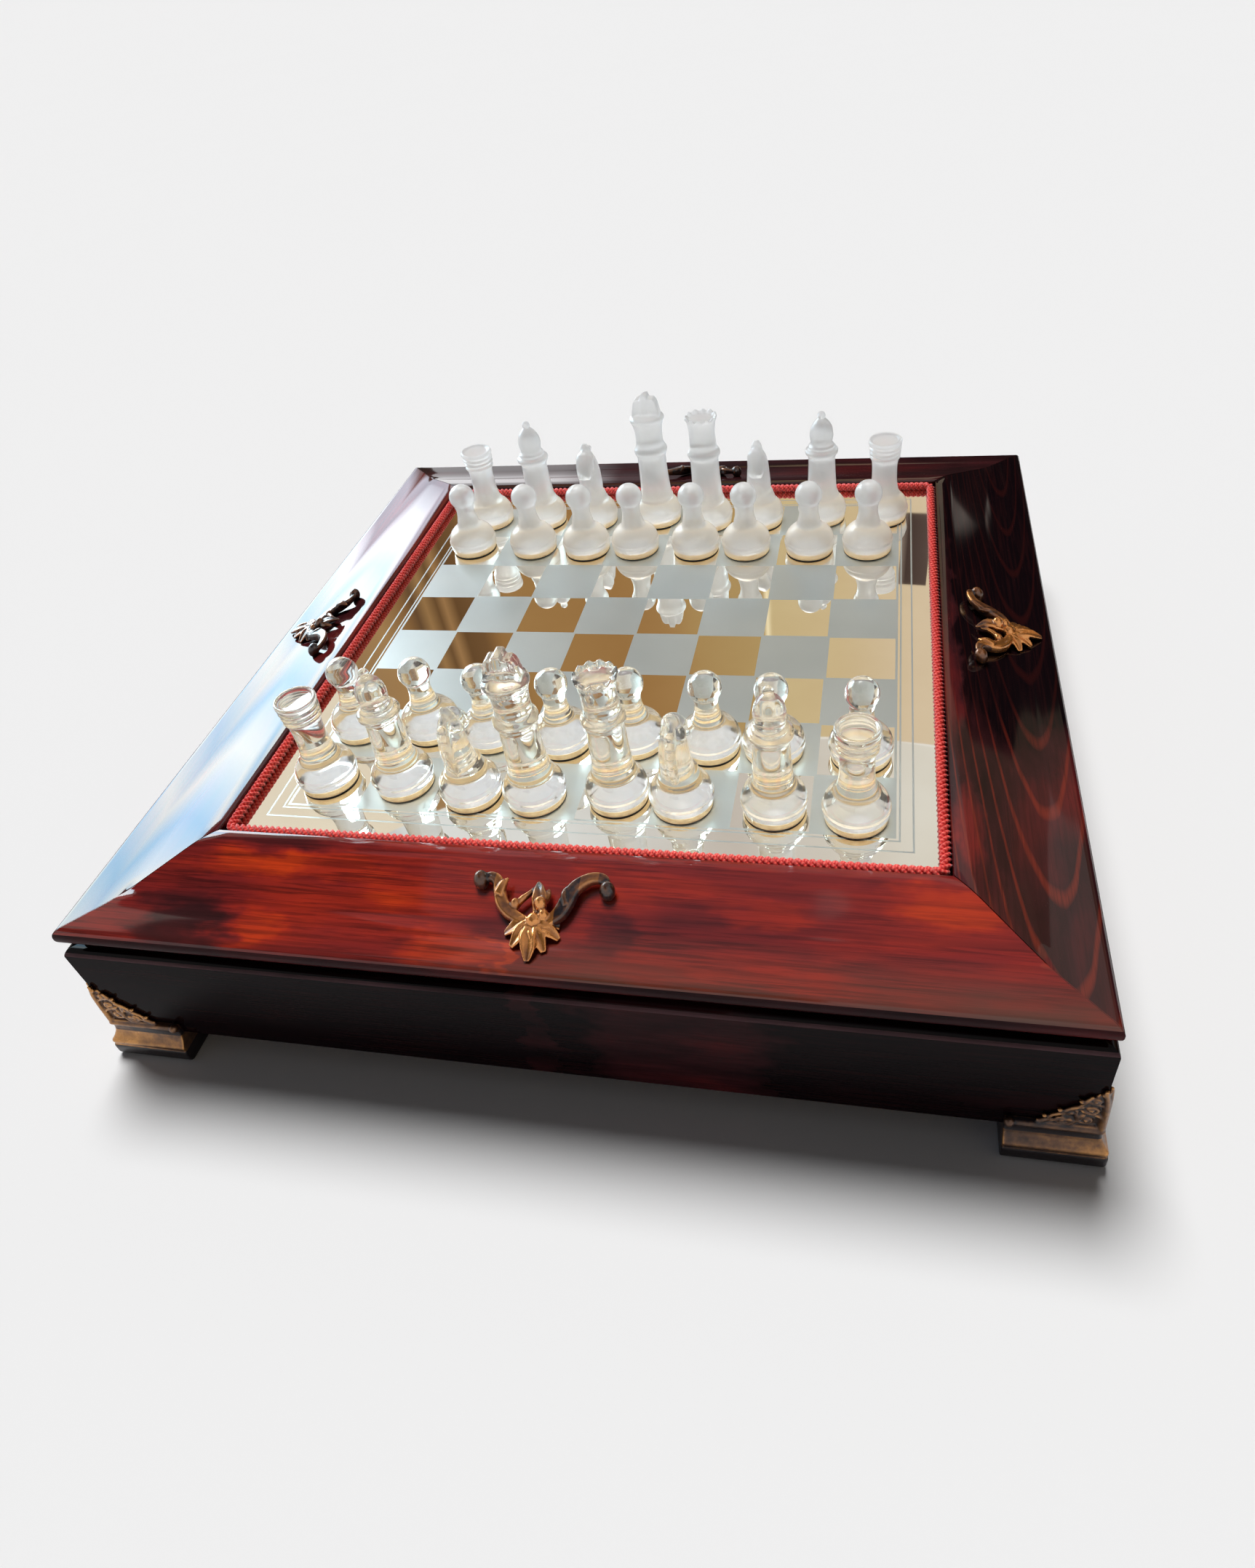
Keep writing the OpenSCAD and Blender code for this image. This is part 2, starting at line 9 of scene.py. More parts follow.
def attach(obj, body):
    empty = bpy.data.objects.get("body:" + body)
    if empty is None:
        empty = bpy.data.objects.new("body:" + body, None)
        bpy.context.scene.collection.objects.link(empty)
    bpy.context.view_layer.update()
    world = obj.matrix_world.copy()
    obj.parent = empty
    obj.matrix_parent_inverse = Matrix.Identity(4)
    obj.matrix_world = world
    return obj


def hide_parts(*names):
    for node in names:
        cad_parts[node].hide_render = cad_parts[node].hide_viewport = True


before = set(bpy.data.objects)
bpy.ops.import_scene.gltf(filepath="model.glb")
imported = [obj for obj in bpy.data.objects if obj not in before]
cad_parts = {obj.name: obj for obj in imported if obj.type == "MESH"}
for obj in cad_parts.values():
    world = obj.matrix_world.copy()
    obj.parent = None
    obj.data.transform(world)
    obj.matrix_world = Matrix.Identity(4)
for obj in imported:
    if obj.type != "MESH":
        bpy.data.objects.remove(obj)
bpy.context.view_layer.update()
scene = bpy.context.scene

# Shapes are drawn in millimetres, with the sizes of the part's source, and built in metres.
MM, PER_METRE = 0.001, 1000
SQUARE = 27.0
GLASS_TOP, GLASS_THICK, GLASS_HALF = 72.0, 4, 125.0
RAIL_IN, RAIL_OUT = 125.25, 169.0
RAIL_UNDER, LIP_TOP, RAIL_EDGE = 61.0, 67.8, 75.75
LEDGE_IN, LEDGE_TOP = 118.25, 64.0
WALL_IN, WALL_OUT = 157.5, 169.5
BASE_UNDER, BASE_TOP = 13.0, 58.0
WINDOW_HALF, WINDOW_LOW, WINDOW_TOP = 118.0, 18.0, 52.0
DRAWER_GAP = 0.5
FOOT_LENGTH = 26.5
# the drawer pulls, each height over the floor: the plate's middle, the eye's and the ring's
PLATE_HIGH, EYE_HIGH, HOOP_HIGH = 35, 41, 33
HOOP_RADIUS, HOOP_OUT, WIRE_RADIUS = 8, 3.6, 1.02


# ------------------------------------------------------------------ node trees

def colour(code):
    """An sRGB hex colour as linear red, green, blue and alpha."""
    parts = [int(code[i:i + 2], 16) / 255 for i in (1, 3, 5)]
    return [c / 12.92 if c <= 0.04045 else ((c + 0.055) / 1.055) ** 2.4 for c in parts] + [1.0]


def add(tree, kind, *inputs, out=0, ramp=None, **settings):
    """Adds a node. Inputs fill or link its sockets in order, a dict those that it names; settings
    are the node's own. Returns the output asked for."""
    made = tree.nodes.new(kind)
    for key, value in settings.items():
        setattr(made, key, value)
    named = {}
    for index, value in enumerate(inputs):
        named.update(value if isinstance(value, dict) else {index: value})
    for key, value in named.items():
        if isinstance(value, bpy.types.NodeSocket):
            tree.links.new(value, made.inputs[key])
        else:
            made.inputs[key].default_value = value
    if ramp:
        stops = made.color_ramp.elements
        for place, _ in ramp[1:-1]:
            stops.new(place)
        stops[0].position, stops[len(ramp) - 1].position = ramp[0][0], ramp[-1][0]
        for stop, (_, shade) in zip(stops, ramp):
            stop.color = colour(shade) if isinstance(shade, str) else (shade, shade, shade, 1)
    return made.outputs[out] if made.outputs else made


def finish_of(name):
    """A new material, and the function that adds nodes to its tree."""
    made = bpy.data.materials.new(name)
    made.use_nodes = True
    made.node_tree.nodes.clear()
    return made, partial(add, made.node_tree)


# ------------------------------------------------------------------- materials

def stained_pine(name, along, shift, patches=(), loops=False, depth=0.5, lip=0.0, gloss=1.0, edge_highlight=False):
    """Pine with a brushed red mahogany stain under thick gloss varnish. Softwood takes stain
    unevenly, so it runs from orange-red to almost black, with fine dark lines along the grain. Two options
    paint light into the colour: a reflection on the flat outer lip and a highlight line along the upper edge."""
    made, node = finish_of(name)
    # grain space: first axis along the grain, second across it with the outside of the box negative
    grain = node("ShaderNodeMapping", {"Vector": node("ShaderNodeTexCoord", out="Object"),
                                       "Rotation": (0, 0, -math.pi / 2 if along == "y" else 0)})
    # uneven uptake of the stain: clouds about 62 mm long and 19 mm wide
    drift = node("ShaderNodeMapping", {"Vector": grain, "Location": (shift, 0, 0), "Scale": (16, 52, 52)})
    cloud = node("ShaderNodeTexNoise", {"Vector": drift, "Scale": 1.0, "Detail": 4.0, "Distortion": 0.25})
    uptake = node("ShaderNodeMapRange", cloud, 0.3, 0.7, depth - 0.2, depth + 0.2)
    # the patches of this board, with wandering edges
    ragged = node("ShaderNodeMapping", {"Vector": grain, "Location": (0, shift, 0), "Scale": (60, 150, 150)})
    ragged = node("ShaderNodeTexNoise", {"Vector": ragged, "Scale": 1.0, "Detail": 3.0}, out="Color")
    ragged = node("ShaderNodeVectorMath", ragged, (0.5, 0.5, 0.5), operation="SUBTRACT")
    ragged = node("ShaderNodeVectorMath", ragged, (0.034, 0.012, 0.0), grain, operation="MULTIPLY_ADD")
    for run, across, half_long, half_wide, amount in patches:
        spot = node("ShaderNodeMapping", {
            "Vector": ragged, "Location": (-run / half_long, -across / half_wide, 0),
            "Scale": (1000 / half_long, 1000 / half_wide, 0)})
        spot = node("ShaderNodeTexGradient", spot, out="Fac", gradient_type="SPHERICAL")
        spot = node("ShaderNodeMapRange", spot, 0.0, 0.6, 0.0, amount, interpolation_type="SMOOTHSTEP")
        uptake = node("ShaderNodeMath", uptake, spot, operation="ADD")
    tint = node("ShaderNodeValToRGB", uptake, ramp=[
        (0.0, "#c23c18"), (0.2, "#a12c1c"), (0.42, "#7e2320"), (0.62, "#5b1d1e"), (0.82, "#36171a"),
        (1.0, "#0f080b")])
    # growth lines: straight ones 5 mm apart on a quarter-sawn board, nested loops on a flat-sawn one
    lines = node("ShaderNodeMapping", {
        "Vector": grain, "Location": (-7.0, 61.0, 0) if loops else (0, shift, 0),
        "Scale": (28, 390, 0) if loops else (8, 195, 195)})
    lines = node("ShaderNodeTexWave", {
        "Vector": lines, "Scale": 0.314, "Distortion": 2.2 if loops else 5.0, "Detail": 2.0,
        "Detail Scale": 0.6}, wave_type="RINGS" if loops else "BANDS", rings_direction="Z",
        bands_direction="Y")
    late = node("ShaderNodeMapRange", lines, 0.88 if loops else 0.6, 1.0, 0.0, 0.5 if loops else 0.22)
    if loops:
        near = node("ShaderNodeSeparateXYZ", grain, out="X")
        near = node("ShaderNodeMapRange", near, -0.075, -0.035, 1.0, 0.12)
        late = node("ShaderNodeMath", late, near, operation="MULTIPLY")
    tint = node("ShaderNodeMix", {0: late, 6: tint, 7: colour("#8a3020" if loops else "#20100f")},
                out=2, data_type="RGBA")
    # fibres, 30 mm long; drawn 1 mm wide so that they show, stronger in streaks
    fibre = node("ShaderNodeMapping", {"Vector": grain, "Location": (shift, 0, 0), "Scale": (34, 980, 980)})
    fibre = node("ShaderNodeTexNoise", {
        "Vector": fibre, "Scale": 1.0, "Detail": 4.0, "Roughness": 0.62, "Distortion": 0.4})
    fibre = node("ShaderNodeMapRange", fibre, 0.44, 0.62, 0.0, 1.0)
    streaks = node("ShaderNodeTexNoise", {"Vector": drift, "Scale": 1.7})
    streaks = node("ShaderNodeMapRange", streaks, 0.35, 0.65, 0.25, 0.62)
    fibre = node("ShaderNodeMath", fibre, streaks, operation="MULTIPLY")
    tint = node("ShaderNodeMix", {0: fibre, 6: tint, 7: colour("#260f10")}, out=2, data_type="RGBA")
    if lip:
        # painted reflection: an olive-brown sheen on the flat outer lip, stronger towards the right, in
        # uneven smudges
        out = node("ShaderNodeSeparateXYZ", grain, out="Y")
        out = node("ShaderNodeMapRange", out, -0.150, -0.168, 0.0, lip)
        side = node("ShaderNodeSeparateXYZ", grain, out="X")
        side = node("ShaderNodeMapRange", side, -0.05, 0.02, 0.1, 1.0)
        lip_sheen = node("ShaderNodeMapRange", cloud, 0.32, 0.6, 0.45, 1.0)
        lip_sheen = node("ShaderNodeMath", out, lip_sheen, operation="MULTIPLY")
        lip_sheen = node("ShaderNodeMath", lip_sheen, side, operation="MULTIPLY")
        tint = node("ShaderNodeMix", {0: lip_sheen, 6: tint, 7: colour("#5c4234")}, out=2, data_type="RGBA")
    if edge_highlight:
        # painted highlight: a thin pale line along the rounded upper edge, where it catches the light, uneven
        # along its length
        line = node("ShaderNodeSeparateXYZ", grain, out="Z")
        line = node("ShaderNodeMath", line, 0.0562, 0.0007, operation="COMPARE")
        uneven = node("ShaderNodeMapRange", cloud, 0.3, 0.6, 0.1, 0.7)
        line = node("ShaderNodeMath", line, uneven, operation="MULTIPLY")
        tint = node("ShaderNodeMix", {0: line, 6: tint, 7: colour("#6a4c50")}, out=2, data_type="RGBA")
    # the varnish lies in long soft waves, and the fibres only just show through it
    swell = node("ShaderNodeMapping", {"Vector": grain, "Location": (0, 0, shift), "Scale": (14, 45, 45)})
    swell = node("ShaderNodeTexNoise", {"Vector": swell, "Scale": 1.0, "Detail": 1.0})
    swell = node("ShaderNodeBump", {"Height": swell, "Distance": 0.0012, "Strength": 0.2})
    pores = node("ShaderNodeBump", {"Height": fibre, "Distance": 0.00012, "Strength": 0.6, "Normal": swell})
    skin = node("ShaderNodeBsdfPrincipled", {
        "Base Color": tint, "Roughness": 0.4, "IOR": 1.45, "Specular IOR Level": 0.0, "Normal": pores,
        "Coat Weight": gloss, "Coat Roughness": 0.06, "Coat IOR": 1.45, "Coat Normal": swell})
    node("ShaderNodeOutputMaterial", skin)
    return made


def bare_wood(name, light, dark, grain_scale=(420, 14, 420)):
    """Unvarnished birch plywood or planed pine: pale, dry and faintly streaked."""
    made, node = finish_of(name)
    at = node("ShaderNodeTexCoord", out="Object")
    grain = node("ShaderNodeMapping", {"Vector": at, "Scale": grain_scale})
    grain = node("ShaderNodeTexNoise", {"Vector": grain, "Scale": 1.0, "Detail": 4.0})
    tint = node("ShaderNodeValToRGB", grain, ramp=[(0.32, dark), (0.68, light)])
    swell = node("ShaderNodeBump", {"Height": grain, "Distance": 0.0001, "Strength": 0.5})
    skin = node("ShaderNodeBsdfPrincipled", {"Base Color": tint, "Roughness": 0.62, "Normal": swell})
    node("ShaderNodeOutputMaterial", skin)
    return made


def silvered_glass():
    """Mirror glass: sharp reflections through slightly warm silvering, with a faint grey haze."""
    made, node = finish_of("silvered_glass")
    at = node("ShaderNodeTexCoord", out="Object")
    haze = node("ShaderNodeTexNoise", {"Vector": at, "Scale": 28, "Detail": 3.0})
    tint = node("ShaderNodeValToRGB", haze, ramp=[(0.3, "#eee8dc"), (0.7, "#f4f0e6")])
    dull = node("ShaderNodeMapRange", haze, 0.35, 0.75, 0.01, 0.03)
    skin = node("ShaderNodeBsdfPrincipled", {"Base Color": tint, "Metallic": 1.0, "Roughness": dull})
    node("ShaderNodeOutputMaterial", skin)
    return made


def etched_glass():
    """Acid-etched glass over silvering: a matt blue-grey veil with a soft sheen."""
    made, node = finish_of("etched_glass")
    at = node("ShaderNodeTexCoord", out="Object")
    cloud = node("ShaderNodeTexNoise", {"Vector": at, "Scale": 20, "Detail": 2.0})
    tint = node("ShaderNodeValToRGB", cloud, ramp=[(0.3, "#afb5b3"), (0.7, "#bcc1be")])
    # the etch's grit is some 0.1 mm; drawn 0.6 mm so that it shows
    grit = node("ShaderNodeTexNoise", {"Vector": at, "Scale": 1600, "Detail": 2.0})
    rough = node("ShaderNodeBump", {"Height": grit, "Distance": 0.00003, "Strength": 0.35})
    skin = node("ShaderNodeBsdfPrincipled", {
        "Base Color": tint, "Metallic": 0.55, "Roughness": 0.36, "IOR": 1.5, "Normal": rough})
    node("ShaderNodeOutputMaterial", skin)
    return made


def lets_light_in(node, skin, share):
    """Ends a glass with its skin. A share of the light goes straight on to what the glass would shade."""
    shading = node("ShaderNodeLightPath", out="Is Shadow Ray")
    through = node("ShaderNodeMath", shading, share, operation="MULTIPLY")
    open_ = node("ShaderNodeBsdfTransparent", colour("#fbf8f2"))
    node("ShaderNodeOutputMaterial", node("ShaderNodeMixShader", through, skin, open_))


def clear_crystal():
    """Pressed clear glass, fire-polished: a faint straw tint and waves from the mould."""
    made, node = finish_of("clear_crystal")
    at = node("ShaderNodeTexCoord", out="Object")
    wave = node("ShaderNodeTexNoise", {"Vector": at, "Scale": 140, "Detail": 1.0})
    wave = node("ShaderNodeBump", {"Height": wave, "Distance": 0.0004, "Strength": 0.25})
    skin = node("ShaderNodeBsdfPrincipled", {
        "Base Color": colour("#f9f8f1"), "Roughness": 0.06, "IOR": 1.45, "Transmission Weight": 0.96,
        "Subsurface Weight": 0.8, "Subsurface Radius": (1, 1, 1), "Subsurface Scale": 0.008,
        "Coat Weight": 0.5, "Coat Roughness": 0.05, "Normal": wave})
    lets_light_in(node, skin, 0.92)
    return made


def frosted_crystal():
    """Pressed glass dipped in etching acid: milky, with the rail showing faintly through the stems. It
    has a faint painted glow of its own, painted light that brightens it."""
    made, node = finish_of("frosted_crystal")
    at = node("ShaderNodeTexCoord", out="Object")
    cloud = node("ShaderNodeTexNoise", {"Vector": at, "Scale": 50, "Detail": 2.0})
    tint = node("ShaderNodeValToRGB", cloud, ramp=[(0.3, "#f7fafc"), (0.7, "#fcfeff")])
    grit = node("ShaderNodeTexNoise", {"Vector": at, "Scale": 1100, "Detail": 3.0})
    rough = node("ShaderNodeBump", {"Height": grit, "Distance": 0.00012, "Strength": 0.4})
    skin = node("ShaderNodeBsdfPrincipled", {
        "Base Color": tint, "Roughness": 0.32, "IOR": 1.33, "Transmission Weight": 0.55,
        "Subsurface Weight": 1.0, "Subsurface Radius": (1, 1, 1), "Subsurface Scale": 0.012,
        "Coat Weight": 0.4, "Coat Roughness": 0.16, "Normal": rough,
        "Emission Color": colour("#ffffff"), "Emission Strength": 0.026})
    lets_light_in(node, skin, 0.74)
    return made


def backing_paper(name, light, dark, glow):
    """The paper that backs each felt disc, seen through the glass: amber at the rim.
    It has a faint painted glow, painted light standing in for the light that reaches it through the glass."""
    made, node = finish_of(name)
    at = node("ShaderNodeTexCoord", out="Object")
    pulp = node("ShaderNodeTexNoise", {"Vector": at, "Scale": 400, "Detail": 3.0})
    tint = node("ShaderNodeValToRGB", pulp, ramp=[(0.3, dark), (0.7, light)])
    node("ShaderNodeOutputMaterial", node("ShaderNodeBsdfPrincipled", {
        "Base Color": tint, "Roughness": 0.8, "Emission Color": tint, "Emission Strength": glow}))
    return made


def black_felt():
    """Pressed wool felt discs under the men: dead black and fuzzy."""
    made, node = finish_of("black_felt")
    at = node("ShaderNodeTexCoord", out="Object")
    fuzz = node("ShaderNodeTexNoise", {"Vector": at, "Scale": 1250, "Detail": 3.0})
    tint = node("ShaderNodeValToRGB", fuzz, ramp=[(0.35, "#0d0d0c"), (0.7, "#24231f")])
    nap = node("ShaderNodeBump", {"Height": fuzz, "Distance": 0.0002, "Strength": 0.8})
    skin = node("ShaderNodeBsdfPrincipled", {
        "Base Color": tint, "Roughness": 0.95, "Sheen Weight": 0.3, "Normal": nap})
    node("ShaderNodeOutputMaterial", skin)
    return made


def silk_cord():
    """Twisted rayon cord: bright red, each strand wound from fine yarns 0.75 mm apart."""
    made, node = finish_of("silk_cord")
    run = node("ShaderNodeAttribute", out="Fac", attribute_name="run")
    turn = node("ShaderNodeAttribute", out="Fac", attribute_name="turn")
    yarn = node("ShaderNodeMath", run, 2 * math.pi / 0.00075, operation="MULTIPLY")
    yarn = node("ShaderNodeMath", turn, 4 * math.pi, yarn, operation="MULTIPLY_ADD")
    yarn = node("ShaderNodeMath", yarn, operation="SINE")
    yarn = node("ShaderNodeMath", yarn, 0.5, 0.5, operation="MULTIPLY_ADD")
    thread = node("ShaderNodeValToRGB", yarn, ramp=[(0.0, "#c82a28"), (0.6, "#f4463e"), (1.0, "#ff7a6c")])
    at = node("ShaderNodeTexCoord", out="Object")
    fade = node("ShaderNodeTexNoise", {"Vector": at, "Scale": 33, "Detail": 2.0})
    fade = node("ShaderNodeMapRange", fade, 0.35, 0.75, 0.0, 0.35)
    tint = node("ShaderNodeMix", {0: fade, 6: thread, 7: colour("#d2343a")}, out=2, data_type="RGBA")
    ridge = node("ShaderNodeBump", {"Height": yarn, "Distance": 0.00012, "Strength": 0.7})
    skin = node("ShaderNodeBsdfPrincipled", {
        "Base Color": tint, "Roughness": 0.5, "Sheen Weight": 0.35, "Sheen Roughness": 0.4, "Normal": ridge})
    node("ShaderNodeOutputMaterial", skin)
    return made


def gilt_brass(name, bright, worn, dark, coat=0.3):
    """Cast brass, gilt and toned: gold on the leaf and where hands rub it, brown-black elsewhere.
    The castings carry an attribute with how well the gilt has lasted, mixed with painted light and shade."""
    made, node = finish_of(name)
    at = node("ShaderNodeTexCoord", out="Object")
    high = node("ShaderNodeNewGeometry", out="Pointiness")
    high = node("ShaderNodeMapRange", high, 0.46, 0.56, -0.25, 0.45)
    blotch = node("ShaderNodeTexNoise", {"Vector": at, "Scale": 260, "Detail": 4.0, "Roughness": 0.6})
    blotch = node("ShaderNodeMapRange", blotch, 0.3, 0.7, -0.16, 0.16)
    wear = node("ShaderNodeMath", high, blotch, operation="ADD")
    gilding_and_shade = node("ShaderNodeAttribute", out="Fac", attribute_name="gilding_and_shade")
    wear = node("ShaderNodeMath", wear, gilding_and_shade, operation="ADD")
    bare = node("ShaderNodeAmbientOcclusion", {"Distance": 0.003}, out="AO", samples=8, only_local=True)
    bare = node("ShaderNodeMapRange", bare, 0.25, 0.85, 0.2, 1.0)
    wear = node("ShaderNodeMath", wear, bare, operation="MULTIPLY")
    tint = node("ShaderNodeValToRGB", wear, ramp=[(0.08, dark), (0.42, worn), (0.85, bright)])
    dull = node("ShaderNodeMapRange", wear, 0.1, 0.8, 0.46, 0.26)
    metal = node("ShaderNodeMapRange", wear, 0.05, 0.6, 0.4, 0.8)
    pits = node("ShaderNodeTexNoise", {"Vector": at, "Scale": 900, "Detail": 3.0})
    pits = node("ShaderNodeBump", {"Height": pits, "Distance": 0.00012, "Strength": 0.55})
    skin = node("ShaderNodeBsdfPrincipled", {
        "Base Color": tint, "Metallic": metal, "Roughness": dull, "Normal": pits, "Coat Weight": coat,
        "Coat Roughness": 0.09})
    node("ShaderNodeOutputMaterial", skin)
    return made


def screw_steel():
    """Zinc-plated steel: grey with a faint turned grain."""
    made, node = finish_of("screw_steel")
    at = node("ShaderNodeTexCoord", out="Object")
    grain = node("ShaderNodeTexNoise", {"Vector": at, "Scale": 1100, "Detail": 2.0})
    tint = node("ShaderNodeValToRGB", grain, ramp=[(0.3, "#8c8c90"), (0.7, "#b0b0b2")])
    skin = node("ShaderNodeBsdfPrincipled", {"Base Color": tint, "Metallic": 1.0, "Roughness": 0.36})
    node("ShaderNodeOutputMaterial", skin)
    return made


def red_velvet():
    """Cotton velvet glued to plywood: deep red with a soft edge-lit pile."""
    made, node = finish_of("red_velvet")
    at = node("ShaderNodeTexCoord", out="Object")
    pile = node("ShaderNodeTexNoise", {"Vector": at, "Scale": 830, "Detail": 4.0})
    tint = node("ShaderNodeValToRGB", pile, ramp=[(0.3, "#3d0609"), (0.7, "#70101a")])
    nap = node("ShaderNodeBump", {"Height": pile, "Distance": 0.0003, "Strength": 0.6})
    skin = node("ShaderNodeBsdfPrincipled", {
        "Base Color": tint, "Roughness": 0.85, "Sheen Weight": 0.8, "Sheen Roughness": 0.35, "Normal": nap})
    node("ShaderNodeOutputMaterial", skin)
    return made


# patches of each board: place along the grain and across it, half length, half width, and
# how much more (or less) stain is drawn there
FRONT_PATCHES = [
    (-123, -160, 22, 17, 0.36), (-101, -130, 24, 6, 0.22), (23, -153, 13, 10, 0.24),
    (62, -153, 36, 11, 0.08), (43, -137, 30, 7, -0.06), (96, -138, 26, 7, -0.04), (71, -164, 50, 7, 0.0),
    (-8, -131, 22, 5, 0.08), (-109, -137, 30, 8, -0.3), (-78, -137, 34, 7, -0.26),
    (-36, -144, 32, 9, -0.16), (-98, -159, 17, 10, -0.26), (-26, -160, 22, 11, -0.34),
    (-12, -164, 4, 12, -0.36), (71, -143, 20, 6, -0.2), (126, -136, 26, 9, -0.3), (-60, -157, 20, 12, 0.06),
    (-55, -127, 16, 4, -0.12)]
# the first, large patch on the right rail darkens it further as painted shade
RIGHT_PATCHES = [
    (60, -152, 164, 60, 0.52), (-104, -131, 26, 6, -0.28), (20, -128, 110, 6, -0.36),
    (-128, -150, 30, 26, 0.02)]
# painted reflection: the lighter patches on the base's front stand in for a brownish reflection
BASE_REFLECTION_PATCHES = [(-2, -169, 8, 200, -0.24), (44, -169, 46, 200, -0.36)]

# the rails are one stain drawn to different depths: the front lighter, painted light where window light falls
# on it, and the right darker, painted shade
pine_front = stained_pine("stained_pine_front", "x", 0.0, FRONT_PATCHES, depth=0.39, lip=0.8)
pine_back = stained_pine("stained_pine_back", "x", 17.0, depth=0.84)
pine_left = stained_pine("stained_pine_left", "y", 31.0, depth=0.62)
pine_right = stained_pine("stained_pine_right", "y", 47.0, RIGHT_PATCHES, loops=True, depth=0.72)
# painted shade: the rails' outer nose and underside are drawn near-black, for faces turned away from the
# light
pine_edge_shade = stained_pine("stained_pine_edge_shade", "x", 55.0, depth=0.8, gloss=0.2)
# painted shade: the base walls are drawn near-black, for faces that the light hardly reaches
pine_base_shade = stained_pine("stained_pine_base_shade", "x", 63.0, BASE_REFLECTION_PATCHES, depth=1.16, gloss=0.15, edge_highlight=True)
pine_ends = stained_pine("stained_pine_ends", "y", 71.0, depth=0.9, gloss=0.5)
pine_drawers = stained_pine("stained_pine_drawers", "y", 83.0, depth=0.72, gloss=0.7)
dark_wood = bare_wood("ebonised_wood", "#241614", "#120b0a")
plywood = bare_wood("birch_plywood", "#cfb083", "#a9855a")
drawer_wood = bare_wood("planed_pine", "#c79a63", "#a1713f", (14, 420, 420))
mirror = silvered_glass()
etched = etched_glass()
crystal = clear_crystal()
frost = frosted_crystal()
felt = black_felt()
paper = backing_paper("amber_paper", "#dcc89e", "#c6ac80", 0.36)
pale_paper = backing_paper("pale_paper", "#a69f94", "#948d82", 0.13)
cord_red = silk_cord()
brass = gilt_brass("gilt_brass_mounts", "#e2954a", "#84502a", "#170c0e", 1.0)
feet_brass = gilt_brass("gilt_brass_feet", "#c48c50", "#6c4c36", "#160c11", 0.25)
pull_brass = gilt_brass("gilt_brass_pulls", "#b98c48", "#6e5030", "#1f1512")
steel = screw_steel()
velvet = red_velvet()


# ---------------------------------------------------------------------- shapes

def arc(cx, cy, r, start, stop, count):
    """Points along an arc between two angles in degrees."""
    turns = [math.radians(start + (stop - start) * i / count) for i in range(count + 1)]
    return [(cx + r * math.cos(t), cy + r * math.sin(t)) for t in turns]


def around(count):
    """Angles that divide a full turn."""
    return [2 * math.pi * i / count for i in range(count)]


def skin_of(rows, count, closed=False):
    """Four-sided faces between rows of count points each; closed joins the last row to the first."""
    faces = []
    for i in range(rows if closed else rows - 1):
        row, beyond = i * count, (i + 1) % rows * count
        for j in range(count):
            k = (j + 1) % count
            faces.append((row + j, row + k, beyond + k, beyond + j))
    return faces


def flat_ended(rows):
    """A closed solid over rows of points, with a flat face at both ends."""
    count, last = len(rows[0]), (len(rows) - 1) * len(rows[0])
    ends = [tuple(range(count)), tuple(last + j for j in reversed(range(count)))]
    return [p for row in rows for p in row], skin_of(len(rows), count) + ends


def pointed(rows, start, end):
    """A closed solid over rows of points, drawn to a point at both ends."""
    count, last = len(rows[0]), (len(rows) - 1) * len(rows[0])
    points = [p for row in rows for p in row] + [start, end]
    faces = skin_of(len(rows), count)
    for j in range(count):
        k = (j + 1) % count
        faces += [(len(points) - 2, k, j), (len(points) - 1, last + j, last + k)]
    return points, faces


def joined(parts):
    """Several solids' points and faces as one."""
    points, faces = [], []
    for verts, loops in parts:
        start = len(points)
        points += verts
        faces += [tuple(start + i for i in loop) for loop in loops]
    return points, faces


def piece(name, points, faces, finishes, face_finish=None, crease=32.0):
    """A mesh piece from points in millimetres, smooth but for edges sharper than crease degrees."""
    mesh = bpy.data.meshes.new(name)
    mesh.from_pydata([tuple(c * MM for c in p) for p in points], [], faces)
    for finish in finishes:
        mesh.materials.append(finish)
    if face_finish:
        mesh.polygons.foreach_set("material_index", face_finish)
    return settle(name, mesh, crease)


def settle(name, mesh, crease=32.0):
    """Merges doubles, points the faces outwards, shades the mesh and links it as an object."""
    work = bmesh.new()
    work.from_mesh(mesh)
    bmesh.ops.remove_doubles(work, verts=work.verts, dist=2e-6)
    bmesh.ops.recalc_face_normals(work, faces=work.faces)
    work.to_mesh(mesh)
    work.free()
    mesh.shade_smooth()
    mesh.set_sharp_from_angle(angle=math.radians(crease))
    made = bpy.data.objects.new(name, mesh)
    scene.collection.objects.link(made)
    return made


def turned_side(points, side):
    """Points drawn for the front, turned to side 0 front, 1 right, 2 back or 3 left."""
    quarter = Matrix.Rotation(math.radians(90 * side), 3, "Z")
    return [tuple(quarter @ Vector(p)) for p in points]


